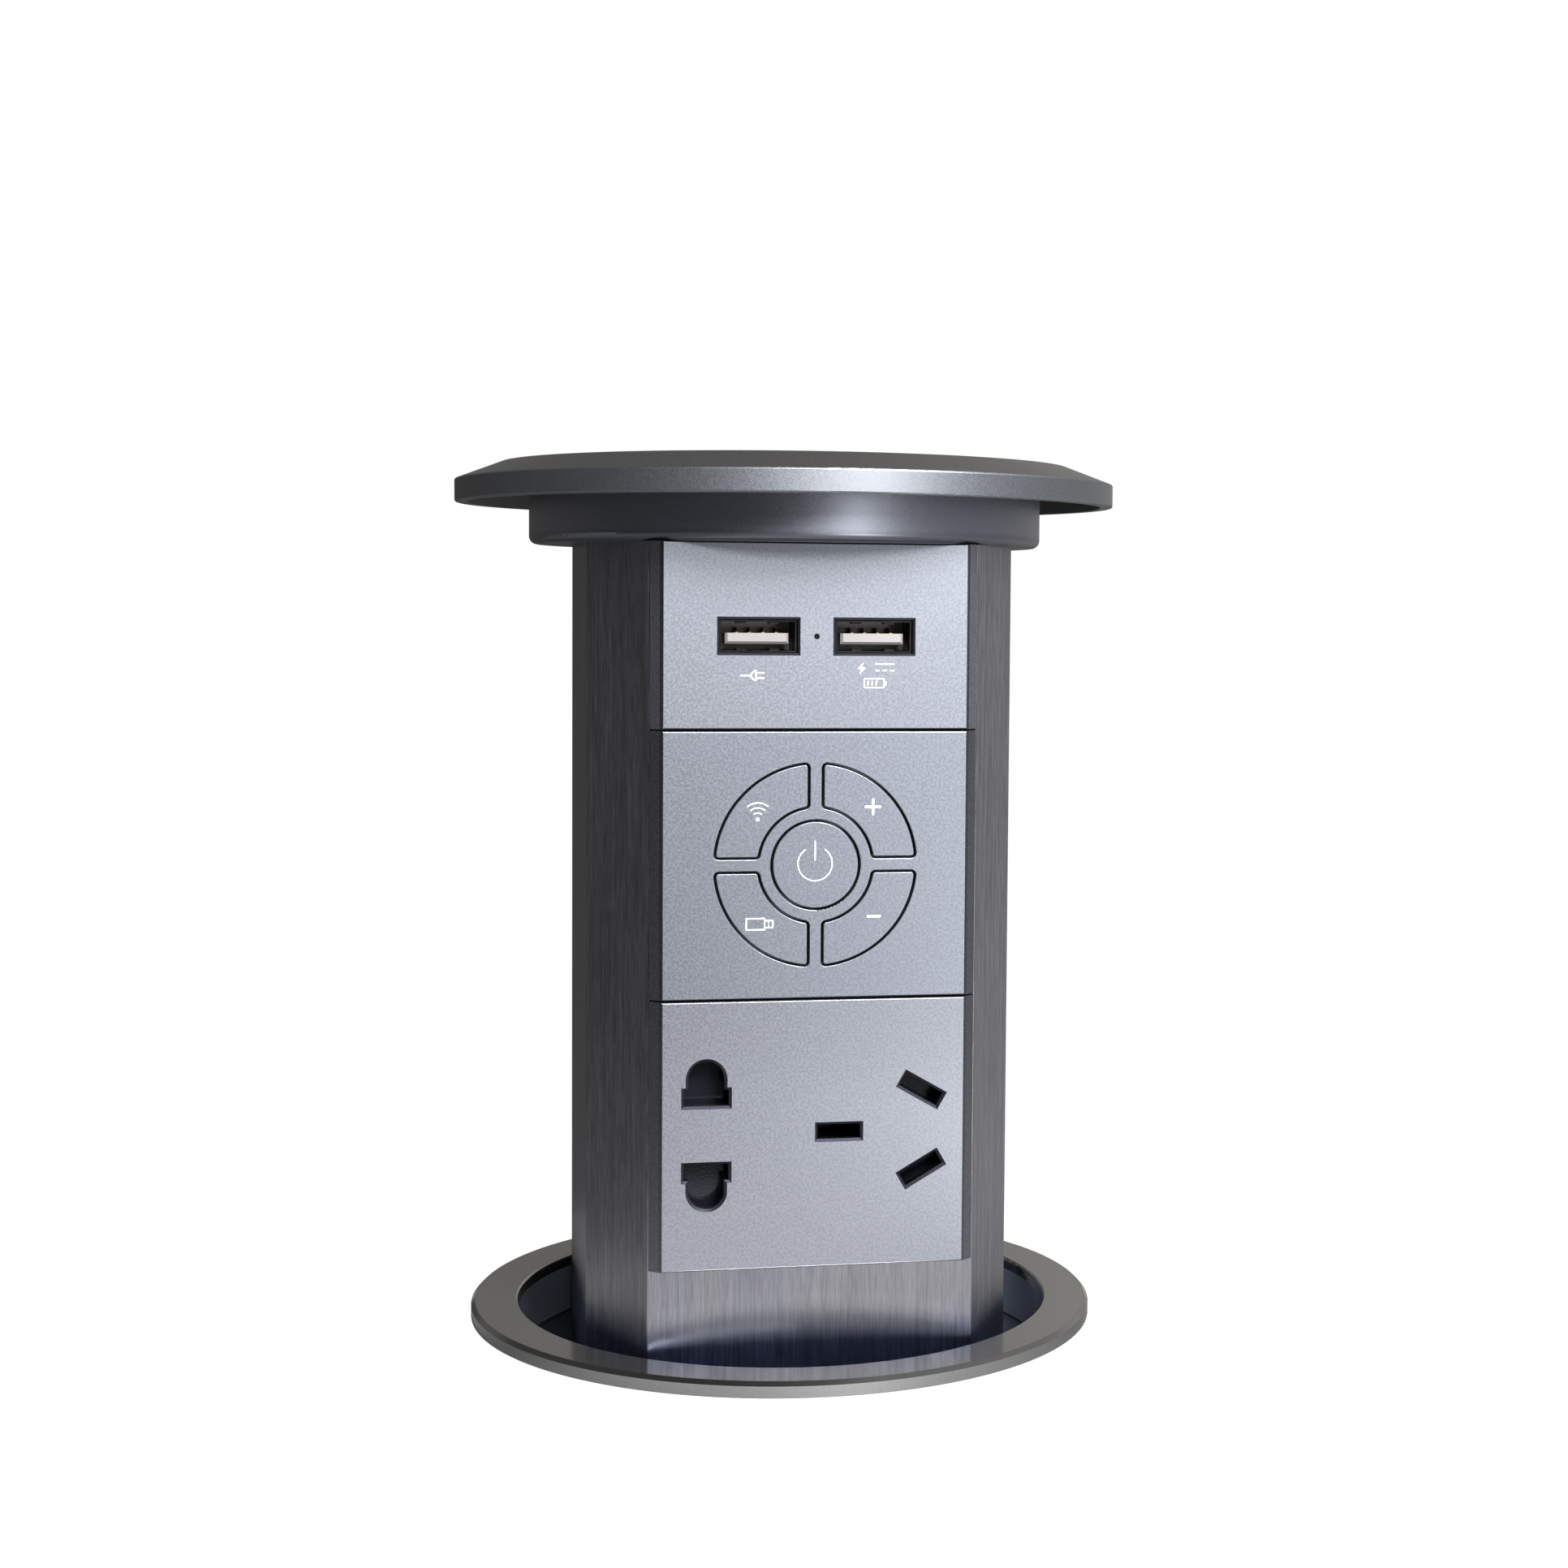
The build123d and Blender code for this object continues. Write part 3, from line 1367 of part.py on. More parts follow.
# Speaker frame: a square plate with a conical basket
with BuildPart() as speaker_frame:
    basket_rear = tower_front - speaker_plate_thickness - speaker_basket_depth
    with BuildSketch(Plane.XZ.offset(-tower_front)):
        with Locations((0, speaker_height)):
            Rectangle(2 * speaker_plate_half, 2 * speaker_plate_half)
            Circle(speaker_mouth_radius, mode=Mode.SUBTRACT)
            with Locations(*corners(speaker_screw, speaker_screw)):
                Circle(small_screw_radius + seat_gap, mode=Mode.SUBTRACT)
    extrude(amount=speaker_plate_thickness)
    with BuildSketch(Plane.YZ):
        with BuildLine():
            Polyline(
                (tower_front, speaker_height + speaker_mouth_radius),
                (tower_front, speaker_height + speaker_mouth_radius + speaker_basket_wall),
                (
                    tower_front - speaker_plate_thickness,
                    speaker_height + speaker_mouth_radius + speaker_basket_wall,
                ),
                (basket_rear, speaker_height + speaker_neck_radius + speaker_basket_wall),
                (basket_rear, speaker_height + speaker_neck_radius),
                (tower_front - speaker_plate_thickness, speaker_height + speaker_mouth_radius),
                close=True,
            )
        make_face()
    revolve(axis=speaker_axis)
finish(speaker_frame, "speaker_frame")

# Speaker cone with its round dust cap
with BuildPart() as speaker_cone:
    cone_front = tower_front - speaker_cone_gap
    cone_rear = basket_rear + speaker_cone_gap
    cone_mouth = speaker_mouth_radius - speaker_cone_gap
    with BuildSketch(Plane.YZ):
        with BuildLine():
            Polyline(
                (cone_front, speaker_height + cone_mouth),
                (cone_front, speaker_height + cone_mouth - speaker_surround_radius),
                (cone_rear + speaker_cone_wall, speaker_height + speaker_cone_neck_radius),
                (cone_rear + speaker_cone_wall, speaker_height),
                (cone_rear, speaker_height),
                (cone_rear, speaker_height + speaker_cone_neck_radius),
                (
                    cone_front - speaker_surround_radius,
                    speaker_height + cone_mouth,
                ),
                close=True,
            )
        make_face()
    revolve(axis=speaker_axis)
finish(speaker_cone, "speaker_cone")

# Speaker magnet behind the basket
with BuildPart() as speaker_magnet:
    with BuildSketch(Plane.XZ.offset(-basket_rear)):
        with Locations((0, speaker_height)):
            Circle(speaker_magnet_radius)
    extrude(amount=speaker_magnet_depth)
    fillet(speaker_magnet.faces().sort_by(Axis.Y)[0].edges(), speaker_magnet_round)
finish(speaker_magnet, "speaker_magnet")

with BuildPart() as speaker_screws:
    speaker_screw_seat = Plane.XZ.offset(speaker_plate_thickness - tower_front)
    with BuildSketch(speaker_screw_seat):
        with Locations((0, speaker_height)):
            with Locations(*corners(speaker_screw, speaker_screw)):
                Circle(small_head_radius)
    extrude(amount=small_head_height)
    with BuildSketch(speaker_screw_seat):
        with Locations((0, speaker_height)):
            with Locations(*corners(speaker_screw, speaker_screw)):
                Circle(small_screw_radius)
    extrude(amount=-speaker_plate_thickness - panel_proud / 2)
finish(speaker_screws, "speaker_screws")

# Plain rear panel with posts for the power board
power_board_face = tower_front - power_board_stand_off
with BuildPart() as rear_panel:
    rear_top = lower_seam - seam_gap / 2
    add(panel_blank(panel_bottom, rear_top).mirror(Plane.XZ))
    add(side_ribs(window_bottom + seat_gap, rear_top, control_rib_depth).mirror(Plane.XZ))
    with BuildSketch(Plane.XZ.offset(-tower_front)):
        with Locations((0, power_height)):
            with Locations(*corners(power_screw_x, power_screw_z)):
                Circle(boss_radius)
                Circle(small_screw_radius + running_gap, mode=Mode.SUBTRACT)
    extrude(amount=power_board_stand_off)
finish(rear_panel, "rear_panel")

# Power board that feeds the USB ports and the speaker
with BuildPart() as power_board:
    with BuildSketch(Plane.XZ.offset(-power_board_face)):
        with Locations((0, power_height)):
            Rectangle(2 * power_board_half_width, 2 * power_board_half_height)
            with Locations(*corners(power_screw_x, power_screw_z)):
                Circle(small_screw_radius + seat_gap, mode=Mode.SUBTRACT)
    extrude(amount=board_thickness)
finish(power_board, "power_board")

with BuildPart() as power_screws:
    power_screw_seat = Plane.XZ.offset(board_thickness - power_board_face)
    with BuildSketch(power_screw_seat):
        with Locations((0, power_height)):
            with Locations(*corners(power_screw_x, power_screw_z)):
                Circle(small_head_radius)
    extrude(amount=small_head_height)
    with BuildSketch(power_screw_seat):
        with Locations((0, power_height)):
            with Locations(*corners(power_screw_x, power_screw_z)):
                Circle(small_screw_radius)
    extrude(amount=-small_screw_reach)
finish(power_screws, "power_screws")

# Transformer, capacitors and heat sink on the power board
with BuildPart() as power_parts:
    parts_plane = Plane.XZ.offset(board_thickness - power_board_face)
    with BuildSketch(parts_plane):
        with Locations((transformer_place[0], power_height + transformer_place[1])):
            Rectangle(transformer_size[0], transformer_size[2])
    extrude(amount=transformer_size[1])
    with BuildSketch(parts_plane):
        for x, z in capacitor_places:
            with Locations((x, power_height + z)):
                Circle(capacitor_radius)
    extrude(amount=capacitor_length)
    with BuildSketch(parts_plane):
        with Locations((heat_sink_place[0], power_height + heat_sink_place[1])):
            Rectangle(heat_sink_size[0], heat_sink_size[2])
    extrude(amount=heat_sink_size[1])
finish(power_parts, "power_parts")
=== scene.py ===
"""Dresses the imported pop-up desk socket: finishes, printed marks, studio and camera.

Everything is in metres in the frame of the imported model: the origin is on the
tower's axis at the top of the desk, +Z is up and the sockets face -Y.
"""

from __future__ import annotations

import json
import logging
import math
from dataclasses import dataclass, field
from enum import Enum
from typing import Any, Iterable, Optional, Sequence, Union

import bmesh
import bpy
from mathutils import Matrix, Vector

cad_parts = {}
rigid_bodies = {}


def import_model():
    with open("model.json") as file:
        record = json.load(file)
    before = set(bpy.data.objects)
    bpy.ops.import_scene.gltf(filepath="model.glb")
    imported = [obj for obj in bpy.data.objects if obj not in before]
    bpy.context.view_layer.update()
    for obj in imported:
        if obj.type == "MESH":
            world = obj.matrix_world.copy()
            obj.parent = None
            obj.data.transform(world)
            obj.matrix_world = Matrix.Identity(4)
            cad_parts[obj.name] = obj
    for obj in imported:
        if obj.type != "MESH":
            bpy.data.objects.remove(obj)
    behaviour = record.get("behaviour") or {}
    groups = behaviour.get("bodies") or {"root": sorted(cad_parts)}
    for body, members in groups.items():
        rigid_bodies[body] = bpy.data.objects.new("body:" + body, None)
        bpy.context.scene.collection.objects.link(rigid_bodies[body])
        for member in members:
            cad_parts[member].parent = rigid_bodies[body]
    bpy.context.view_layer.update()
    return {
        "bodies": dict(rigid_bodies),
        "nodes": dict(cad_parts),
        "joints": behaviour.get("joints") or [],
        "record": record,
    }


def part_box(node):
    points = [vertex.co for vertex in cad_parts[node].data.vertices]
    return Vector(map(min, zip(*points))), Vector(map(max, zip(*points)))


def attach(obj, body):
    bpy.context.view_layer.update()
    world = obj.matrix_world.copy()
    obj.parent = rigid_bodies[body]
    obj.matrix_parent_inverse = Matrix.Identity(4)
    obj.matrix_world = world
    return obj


LOG = logging.getLogger("desk_socket")
MM = 0.001
WHITE = (1.0, 1.0, 1.0)
NOISE_BAND = (0.3, 0.7)  # the part of 0 to 1 that a noise fills

Point = tuple[float, float]
Colour = tuple[float, float, float]
Slope = tuple[float, float, Point]  # where a change starts and ends, and the two levels
Operand = Union["Wire", float, Sequence[float]]


# ---------------------------------------------------------------- shader maths


class Wire:
    """One output socket, with operators that add the node they stand for."""

    def __init__(self, tree: "ShaderTree", socket: bpy.types.NodeSocket) -> None:
        """Keeps the socket and the tree that it belongs to."""
        self.tree = tree
        self.socket = socket

    @property
    def wide(self) -> bool:
        """Whether the socket carries a vector or a colour."""
        return self.socket.type in {"VECTOR", "RGBA"}

    def _pair(self, operation: str, first: Operand, second: Operand) -> "Wire":
        """Adds one Math node, or Vector Math where either side is wide.

        Args:
            operation: The node's operation.
            first: The left side.
            second: The right side.

        Returns:
            The result.
        """
        wide = any(
            item.wide if isinstance(item, Wire) else isinstance(item, (tuple, list))
            for item in (first, second)
        )
        kind = "ShaderNodeVectorMath" if wide else "ShaderNodeMath"
        return self.tree.add(kind, {"operation": operation}, {0: first, 1: second})

    def __add__(self, other: Operand) -> "Wire":
        """This plus the other."""
        return self._pair("ADD", self, other)

    def __sub__(self, other: Operand) -> "Wire":
        """This less the other."""
        return self._pair("SUBTRACT", self, other)

    def __rsub__(self, other: Operand) -> "Wire":
        """The other less this."""
        return self._pair("SUBTRACT", other, self)

    def __neg__(self) -> "Wire":
        """Nothing less this."""
        return self._pair("SUBTRACT", 0.0, self)

    def __mul__(self, other: Operand) -> "Wire":
        """This times the other."""
        return self._pair("MULTIPLY", self, other)

    def __pow__(self, other: float) -> "Wire":
        """This raised to a power."""
        return self._pair("POWER", self, other)

    def __gt__(self, other: Operand) -> "Wire":
        """One where this is greater than the other, else nothing."""
        return self._pair("GREATER_THAN", self, other)

    def __lt__(self, other: Operand) -> "Wire":
        """One where this is less than the other, else nothing."""
        return self._pair("LESS_THAN", self, other)

    def __abs__(self) -> "Wire":
        """This without its sign."""
        return self.tree.add("ShaderNodeMath", {"operation": "ABSOLUTE"}, {0: self})

    def spread(self, low: float, high: float, to: Point = (0.0, 1.0)) -> "Wire":
        """Maps a range onto another, smoothly and clamped.

        Args:
            low: The value that becomes the first of the new range.
            high: The value that becomes the last of it.
            to: The new range.

        Returns:
            The mapped value.
        """
        return self.tree.add(
            "ShaderNodeMapRange",
            {"interpolation_type": "SMOOTHSTEP"},
            {"Value": self, "From Min": low, "From Max": high, "To Min": to[0], "To Max": to[1]},
        )

    def axes(self) -> tuple["Wire", "Wire", "Wire"]:
        """The three parts of a vector."""
        node = self.tree.add("ShaderNodeSeparateXYZ", {}, {"Vector": self}).socket.node
        return tuple(Wire(self.tree, node.outputs[name]) for name in "XYZ")


class ShaderTree:
    """The nodes of one material or of the world."""

    def __init__(self, tree: bpy.types.NodeTree) -> None:
        """Takes a tree and empties it."""
        self.tree = tree
        tree.nodes.clear()

    def add(
        self,
        kind: str,
        settings: dict[str, Any],
        inputs: dict[Union[str, int], Any],
        output: Union[str, int] = 0,
    ) -> Wire:
        """Adds a node of any type.

        Args:
            kind: The node's type.
            settings: Its properties, set first.
            inputs: Values or wires for its sockets, by name or number.
            output: The socket to hand back.

        Returns:
            The wire of that output.
        """
        node = self.tree.nodes.new(kind)
        for name, value in settings.items():
            setattr(node, name, value)
        for name, value in inputs.items():
            socket = node.inputs[name]
            if isinstance(value, Wire):
                self.tree.links.new(value.socket, socket)
            elif socket.type == "RGBA" and len(value) == 3:
                socket.default_value = (*value, 1.0)
            elif socket.type == "VECTOR" and not isinstance(value, (tuple, list)):
                socket.default_value = (value, value, value)
            else:
                socket.default_value = value
        return Wire(self, node.outputs[output]) if len(node.outputs) else Wire(self, None)

    def mix(self, factor: Operand, first: Operand, second: Operand) -> Wire:
        """Mixes two colours.

        Args:
            factor: How much of the second, from 0 to 1.
            first: The first colour.
            second: The second colour.

        Returns:
            The mixed colour.
        """
        return self.add(
            "ShaderNodeMix", {"data_type": "RGBA"}, {0: factor, 6: first, 7: second}, 2
        )

    def place(self) -> Wire:
        """The point's place on its own object, in metres."""
        return self.add("ShaderNodeTexCoord", {}, {}, "Object")

    def noise(self, place: Wire, scale: float, detail: float, rough: float = 0.5) -> Wire:
        """Cloudy noise from 0 to 1.

        Args:
            place: Where it is read.
            scale: Clouds a metre.
            detail: Finer layers added.
            rough: Strength of those layers.

        Returns:
            The value of the noise.
        """
        return self.add(
            "ShaderNodeTexNoise",
            {},
            {"Vector": place, "Scale": scale, "Detail": detail, "Roughness": rough},
        )

    def bump(self, height: Wire, depth: float, strength: float) -> Wire:
        """A normal bent by a height.

        Args:
            height: The height, from 0 to 1.
            depth: What 1 stands for, in metres.
            strength: How much of it shows.

        Returns:
            The normal.
        """
        return self.add(
            "ShaderNodeBump", {}, {"Height": height, "Distance": depth, "Strength": strength}
        )


# -------------------------------------------------------------------- finishes


@dataclass(frozen=True)
class Finish:
    """A surface finish: its own colour, gloss and grain.

    Args:
        name: The material's name.
        colour: Its main colour, linear.
        metal: How metallic it is.
        rough: Its roughness.
    """

    SWING = 0.06  # how much a cloud changes the colour
    SHEEN = (0.92, 1.08)  # the lowest and the highest roughness, as shares of the finish's own

    name: str
    colour: Colour
    metal: float = 0.0
    rough: float = 0.5

    def start(self) -> tuple[bpy.types.Material, ShaderTree]:
        """Makes the empty material."""
        material = bpy.data.materials.new(self.name)
        material.use_nodes = True
        material.diffuse_color = (*self.colour, 1.0)
        material.metallic = self.metal
        material.roughness = self.rough
        return material, ShaderTree(material.node_tree)

    def close(self, tree: ShaderTree, inputs: dict[str, Any]) -> None:
        """Adds the surface shader and the material's output."""
        surface = tree.add("ShaderNodeBsdfPrincipled", {}, inputs)
        tree.add("ShaderNodeOutputMaterial", {}, {"Surface": surface})

    def material(self) -> bpy.types.Material:
        """Builds the material.

        Returns:
            A smooth surface with faint clouds in its gloss.
        """
        material, tree = self.start()
        cloud = tree.noise(tree.place(), scale=260.0, detail=3.0)
        self.close(
            tree,
            {
                "Base Color": self.tint(tree, cloud, self.SWING),
                "Metallic": self.metal,
                "Roughness": self.gloss(cloud),
            },
        )
        return material

    def gloss(self, pattern: Wire) -> Wire:
        """Varies the roughness with a pattern.

        Args:
            pattern: A value from 0 to 1.

        Returns:
            The varied roughness.
        """
        least, most = self.SHEEN
        return pattern.spread(*NOISE_BAND, (self.rough * least, self.rough * most))

    def tint(self, tree: ShaderTree, pattern: Wire, swing: float) -> Wire:
        """Varies the main colour with a pattern.

        Args:
            tree: The material's nodes.
            pattern: A value from 0 to 1.
            swing: The greatest change either way, as a share.

        Returns:
            The varied colour.
        """
        dark, light = (
            tuple(part * scale for part in self.colour) for scale in (1 - swing, 1 + swing)
        )
        return tree.mix(pattern.spread(*NOISE_BAND), dark, light)


@dataclass(frozen=True)
class BrushedMetal(Finish):
    """Anodised metal brushed along Z, with fine and coarse scratches.

    Args:
        line: Scratches a metre across the brushing.
        stretch: How much longer than wide a scratch is.
        contrast: How much a scratch changes the colour.
        drawn: How far the gloss is drawn out across the brushing.
        seam_shade_bounds: Half width and y of the faces behind the panels, which are painted near
            black as shade where they show through the seams.
        seam_shade_base: The z above which that painted shade starts.
        seam_shade_colour: The colour of that painted shade.
        wear: The two shades of the large patches.
        desk: The z between which the painted shade of the lowest end fades out, a painted dark
            reflection of the bore.
        foot_shade_tint: What the colour is multiplied by down there, making it darker and bluer.
    """

    SHEEN = (0.85, 1.2)
    RELIEF = (0.01 * MM, 0.35)  # how deep the scratches are and how much of that shows
    BROAD = (0.25, 0.7, 0.35)  # coarse scratches: their line and stretch as shares, their weight
    PATCH = (60.0, 0.3, (0.35, 0.7))  # large patches a metre, their stretch and their band

    line: float = 5200.0
    stretch: float = 26.0
    contrast: float = 0.26
    drawn: float = 0.75
    # Painted shade: the faces behind the panels are darkened where they show through the seams.
    seam_shade_bounds: Point = (0.02795, 0.03645)
    seam_shade_base: float = 0.017
    seam_shade_colour: Colour = (0.008, 0.008, 0.01)
    wear: tuple[Colour, Colour] = ((0.96, 0.96, 0.97), (1.04, 1.03, 1.0))
    # Painted reflection: the lowest end is darkened and blued like the dark bore mirrored in it.
    desk: Point = (0.002, 0.009)
    foot_shade_tint: Colour = (0.7, 0.8, 1.05)

    def material(self) -> bpy.types.Material:
        """Builds the brushed material."""
        material, tree = self.start()
        place = tree.place()
        along = 1.0 / self.stretch
        line, length, weight = self.BROAD
        patches, tall, band = self.PATCH
        fine = tree.noise(place * (1.0, 1.0, along), self.line, detail=2.0, rough=0.6)
        broad = tree.noise(place * (1.0, 1.0, along * length), self.line * line, detail=2.0)
        patch = tree.noise(place * (1.0, 1.0, tall), patches, detail=2.0)
        grain = fine * (1.0 - weight) + broad * weight
        x, y, z = place.axes()
        # Painted shade in the seams: the faces behind the panels turn near black.
        in_seam_shade = (abs(x) < self.seam_shade_bounds[0]) * (abs(y) > self.seam_shade_bounds[1]) * (z > self.seam_shade_base)
        colour = tree.mix(in_seam_shade, self.tint(tree, grain, self.contrast), self.seam_shade_colour)
        shade = tree.mix(patch.spread(*band), *self.wear)
        # Painted reflection of the dark bore: darker and bluer towards the bottom.
        shade = shade * tree.mix(z.spread(*self.desk), self.foot_shade_tint, WHITE)
        self.close(
            tree,
            {
                "Base Color": colour * shade,
                "Metallic": self.metal,
                "Roughness": self.gloss(grain),
                "Anisotropic": self.drawn,
                "Normal": tree.bump(grain, *self.RELIEF),
            },
        )
        return material


@dataclass(frozen=True)
class MetallicPaint(Finish):
    """Sprayed metallic lacquer with fine flakes, with painted shade on edges and dark inside
    cut-outs.

    Args:
        flake: Flakes a metre.
        sparkle: How much a flake changes the colour.
        face: How far from the middle plane the lacquered face is, if painted shade darkens what
            lies behind it.
        edge_shade: What is left of the colour under the painted shade on the face's edges and on
            its sides.
        edges: How far behind the face the edges start and are fully shaded.
        sides: How far behind it the sides start and are reached.
        light_by_height: The colour's strength at two heights, as painted light and shade.
        rise: Those heights, if it changes.
        neck: Radius and z, inside and below which a matt navy painted sheen takes over, if any.
        bore_sheen_colour: The colour of that painted sheen, standing in for the bluish light seen
            in the bore.
        brim: Radius from which the outer edge has painted light of its own, if any.
        rim_light_tint: What the colour is multiplied by there: painted shade that dims the ring's
            edge highlight, and a painted cool reflection on the lid's rim.
        recess: Half width, lowest and highest z of the region whose inside is dark, if any.
        skin: The y behind which that inside starts.
        walls: How far behind it the sloping edges end and the walls start.
        edge: The colour of those edges.
        inside: The colour of the walls.
    """

    SHEEN = (0.95, 1.05)
    RELIEF = (0.014 * MM, 0.3)  # how deep the flakes lie and how much of that shows
    BLEND = 0.3 * MM  # the width over which the brim's colour sets in

    flake: float = 2600.0
    sparkle: float = 0.1
    face: float = 0.0
    # Painted shade that tones down the highlights on the face's edges and darkens its sides.
    edge_shade: Point = (0.4, 0.62)
    edges: Point = (0.004 * MM, 0.03 * MM)
    sides: Point = (0.35 * MM, 0.5 * MM)
    # Painted light and shade by height.
    light_by_height: Point = (1.0, 1.0)
    rise: Optional[Point] = None
    neck: Optional[Point] = None
    bore_sheen_colour: Colour = (0.14, 0.155, 0.2)
    # Painted light on the outer edge.
    brim: float = 0.0
    rim_light_tint: Colour = (0.7, 0.7, 0.72)
    recess: Optional[tuple[float, float, float]] = None
    skin: float = 0.0
    walls: Point = (0.3 * MM, 0.6 * MM)
    edge: Colour = (0.09, 0.095, 0.12)
    inside: Colour = (0.02, 0.022, 0.03)

    def material(self) -> bpy.types.Material:
        """Builds the lacquer."""
        material, tree = self.start()
        place = tree.place()
        flakes = tree.noise(place, self.flake, detail=1.0, rough=0.4)
        x, y, z = place.axes()
        metal: Operand = self.metal
        colour = self.tint(tree, flakes, self.sparkle)
        # Painted shade: darker on the rounded edges of the face and on the sides behind it.
        if self.face:
            back = self.face - abs(y)
            left = back.spread(*self.sides, self.edge_shade)
            colour = colour * tree.mix(back.spread(*self.edges), WHITE, left)
        # Painted light and shade by height: the socket panel lighter towards the bottom, the collar
        # darker on its lower rounded edge.
        if self.rise:
            colour = colour * z.spread(*self.rise, self.light_by_height)
        # Painted light on the outer edge: the ring's edge darker to dim its highlight, the lid's
        # rim cooler for its reflections.
        if self.brim:
            outer = ((x * x + y * y) ** 0.5).spread(self.brim, self.brim + self.BLEND)
            colour = colour * tree.mix(outer, WHITE, self.rim_light_tint)
        # Painted sheen: the neck inside the bore turns matt navy, standing in for its bluish light.
        if self.neck:
            radius, top = self.neck
            in_neck_sheen = ((x * x + y * y) < radius**2) * (z < top)
            colour = tree.mix(in_neck_sheen, colour, self.bore_sheen_colour)
            metal = in_neck_sheen.spread(0.0, 1.0, (self.metal, 0.0))
        if self.recess:
            half, low, high = self.recess
            hole = (abs(x) < half) * (z > low) * (z < high) * (y > self.skin)
            depth = (y - self.skin).spread(*self.walls)
            colour = tree.mix(hole, colour, tree.mix(depth, self.edge, self.inside))
        self.close(
            tree,
            {
                "Base Color": colour,
                "Metallic": metal,
                "Roughness": self.gloss(flakes),
                "Normal": tree.bump(flakes, *self.RELIEF),
            },
        )
        return material


@dataclass(frozen=True)
class MouldedPlastic(Finish):
    """Moulded plastic with a fine spark-eroded texture.

    Args:
        pit: Pits a metre.
        depth: How deep they are, in metres.
        bore: Radius about Z inside which a lighter painted sheen takes over, if any.
        bore_sheen_colour: The colour inside that radius, painted lighter to stand in for the bluish
            light seen in the bore.
    """

    SWING = 0.03
    SHEEN = (0.9, 1.1)

    pit: float = 2400.0
    depth: float = 0.03 * MM
    bore: float = 0.0
    bore_sheen_colour: Colour = (0.22, 0.24, 0.32)

    def material(self) -> bpy.types.Material:
        """Builds the plastic."""
        material, tree = self.start()
        place = tree.place()
        pits = tree.noise(place, self.pit, detail=2.0, rough=0.6)
        flow = tree.noise(place, scale=90.0, detail=2.0)
        colour = self.tint(tree, flow, self.SWING)
        # Painted sheen: lighter and bluer inside the bore, standing in for the light seen there.
        if self.bore:
            x, y, _ = place.axes()
            colour = tree.mix((x * x + y * y) < self.bore**2, colour, self.bore_sheen_colour)
        self.close(
            tree,
            {
                "Base Color": colour,
                "Metallic": self.metal,
                "Roughness": self.gloss(pits),
                "Normal": tree.bump(pits, self.depth, strength=0.3),
            },
        )
        return material


@dataclass(frozen=True)
class SolderMask(Finish):
    """Green lacquer over a board, with its tracks showing through.

    Args:
        track: Tracks a metre.
        bend: How far a track wanders.
        copper: The colour over a track.
    """

    RELIEF = (0.04 * MM, 0.4)  # how high the tracks stand and how much of that shows
    CREST = (0.72, 0.8)  # the part of a wave that is a track
    WORN = 0.7  # a track's roughness, as a share of the lacquer's

    track: float = 420.0
    bend: float = 4.0 * MM
    copper: Colour = (0.05, 0.3, 0.12)

    def material(self) -> bpy.types.Material:
        """Builds the board's surface."""
        material, tree = self.start()
        place = tree.place()
        drift = tree.noise(place, scale=90.0, detail=0.0)
        lines = tree.add(
            "ShaderNodeTexWave",
            {"bands_direction": "X"},
            {
                "Vector": place + drift * (self.bend, self.bend, self.bend),
                "Scale": self.track,
                "Distortion": 0.0,
            },
            "Fac",
        )
        track = lines.spread(*self.CREST)
        self.close(
            tree,
            {
                "Base Color": tree.mix(track, self.colour, self.copper),
                "Metallic": self.metal,
                "Roughness": track.spread(0.0, 1.0, (self.rough, self.rough * self.WORN)),
                "Normal": tree.bump(track, *self.RELIEF),
            },
        )
        return material


@dataclass(frozen=True)
class Ink(Finish):
    """Printed ink, slightly uneven.

    Args:
        glow: Light that it gives back by itself.
    """

    SWING = 0.03
    SHEEN = (0.9, 1.1)

    glow: float = 0.0

    def material(self) -> bpy.types.Material:
        """Builds the ink."""
        material, tree = self.start()
        cloud = tree.noise(tree.place(), scale=1800.0, detail=2.0)
        self.close(
            tree,
            {
                "Base Color": self.tint(tree, cloud, self.SWING),
                "Roughness": self.gloss(cloud),
                "Emission Color": self.colour,
                "Emission Strength": self.glow,
            },
        )
        return material


PANEL_FACE = 38.5 * MM  # how far in front of the axis the panels' face is
PANEL_SKIN = -38.44 * MM  # the y just behind it
WINDOW_HALF = 25.4 * MM  # half the width of the region that holds a panel's openings


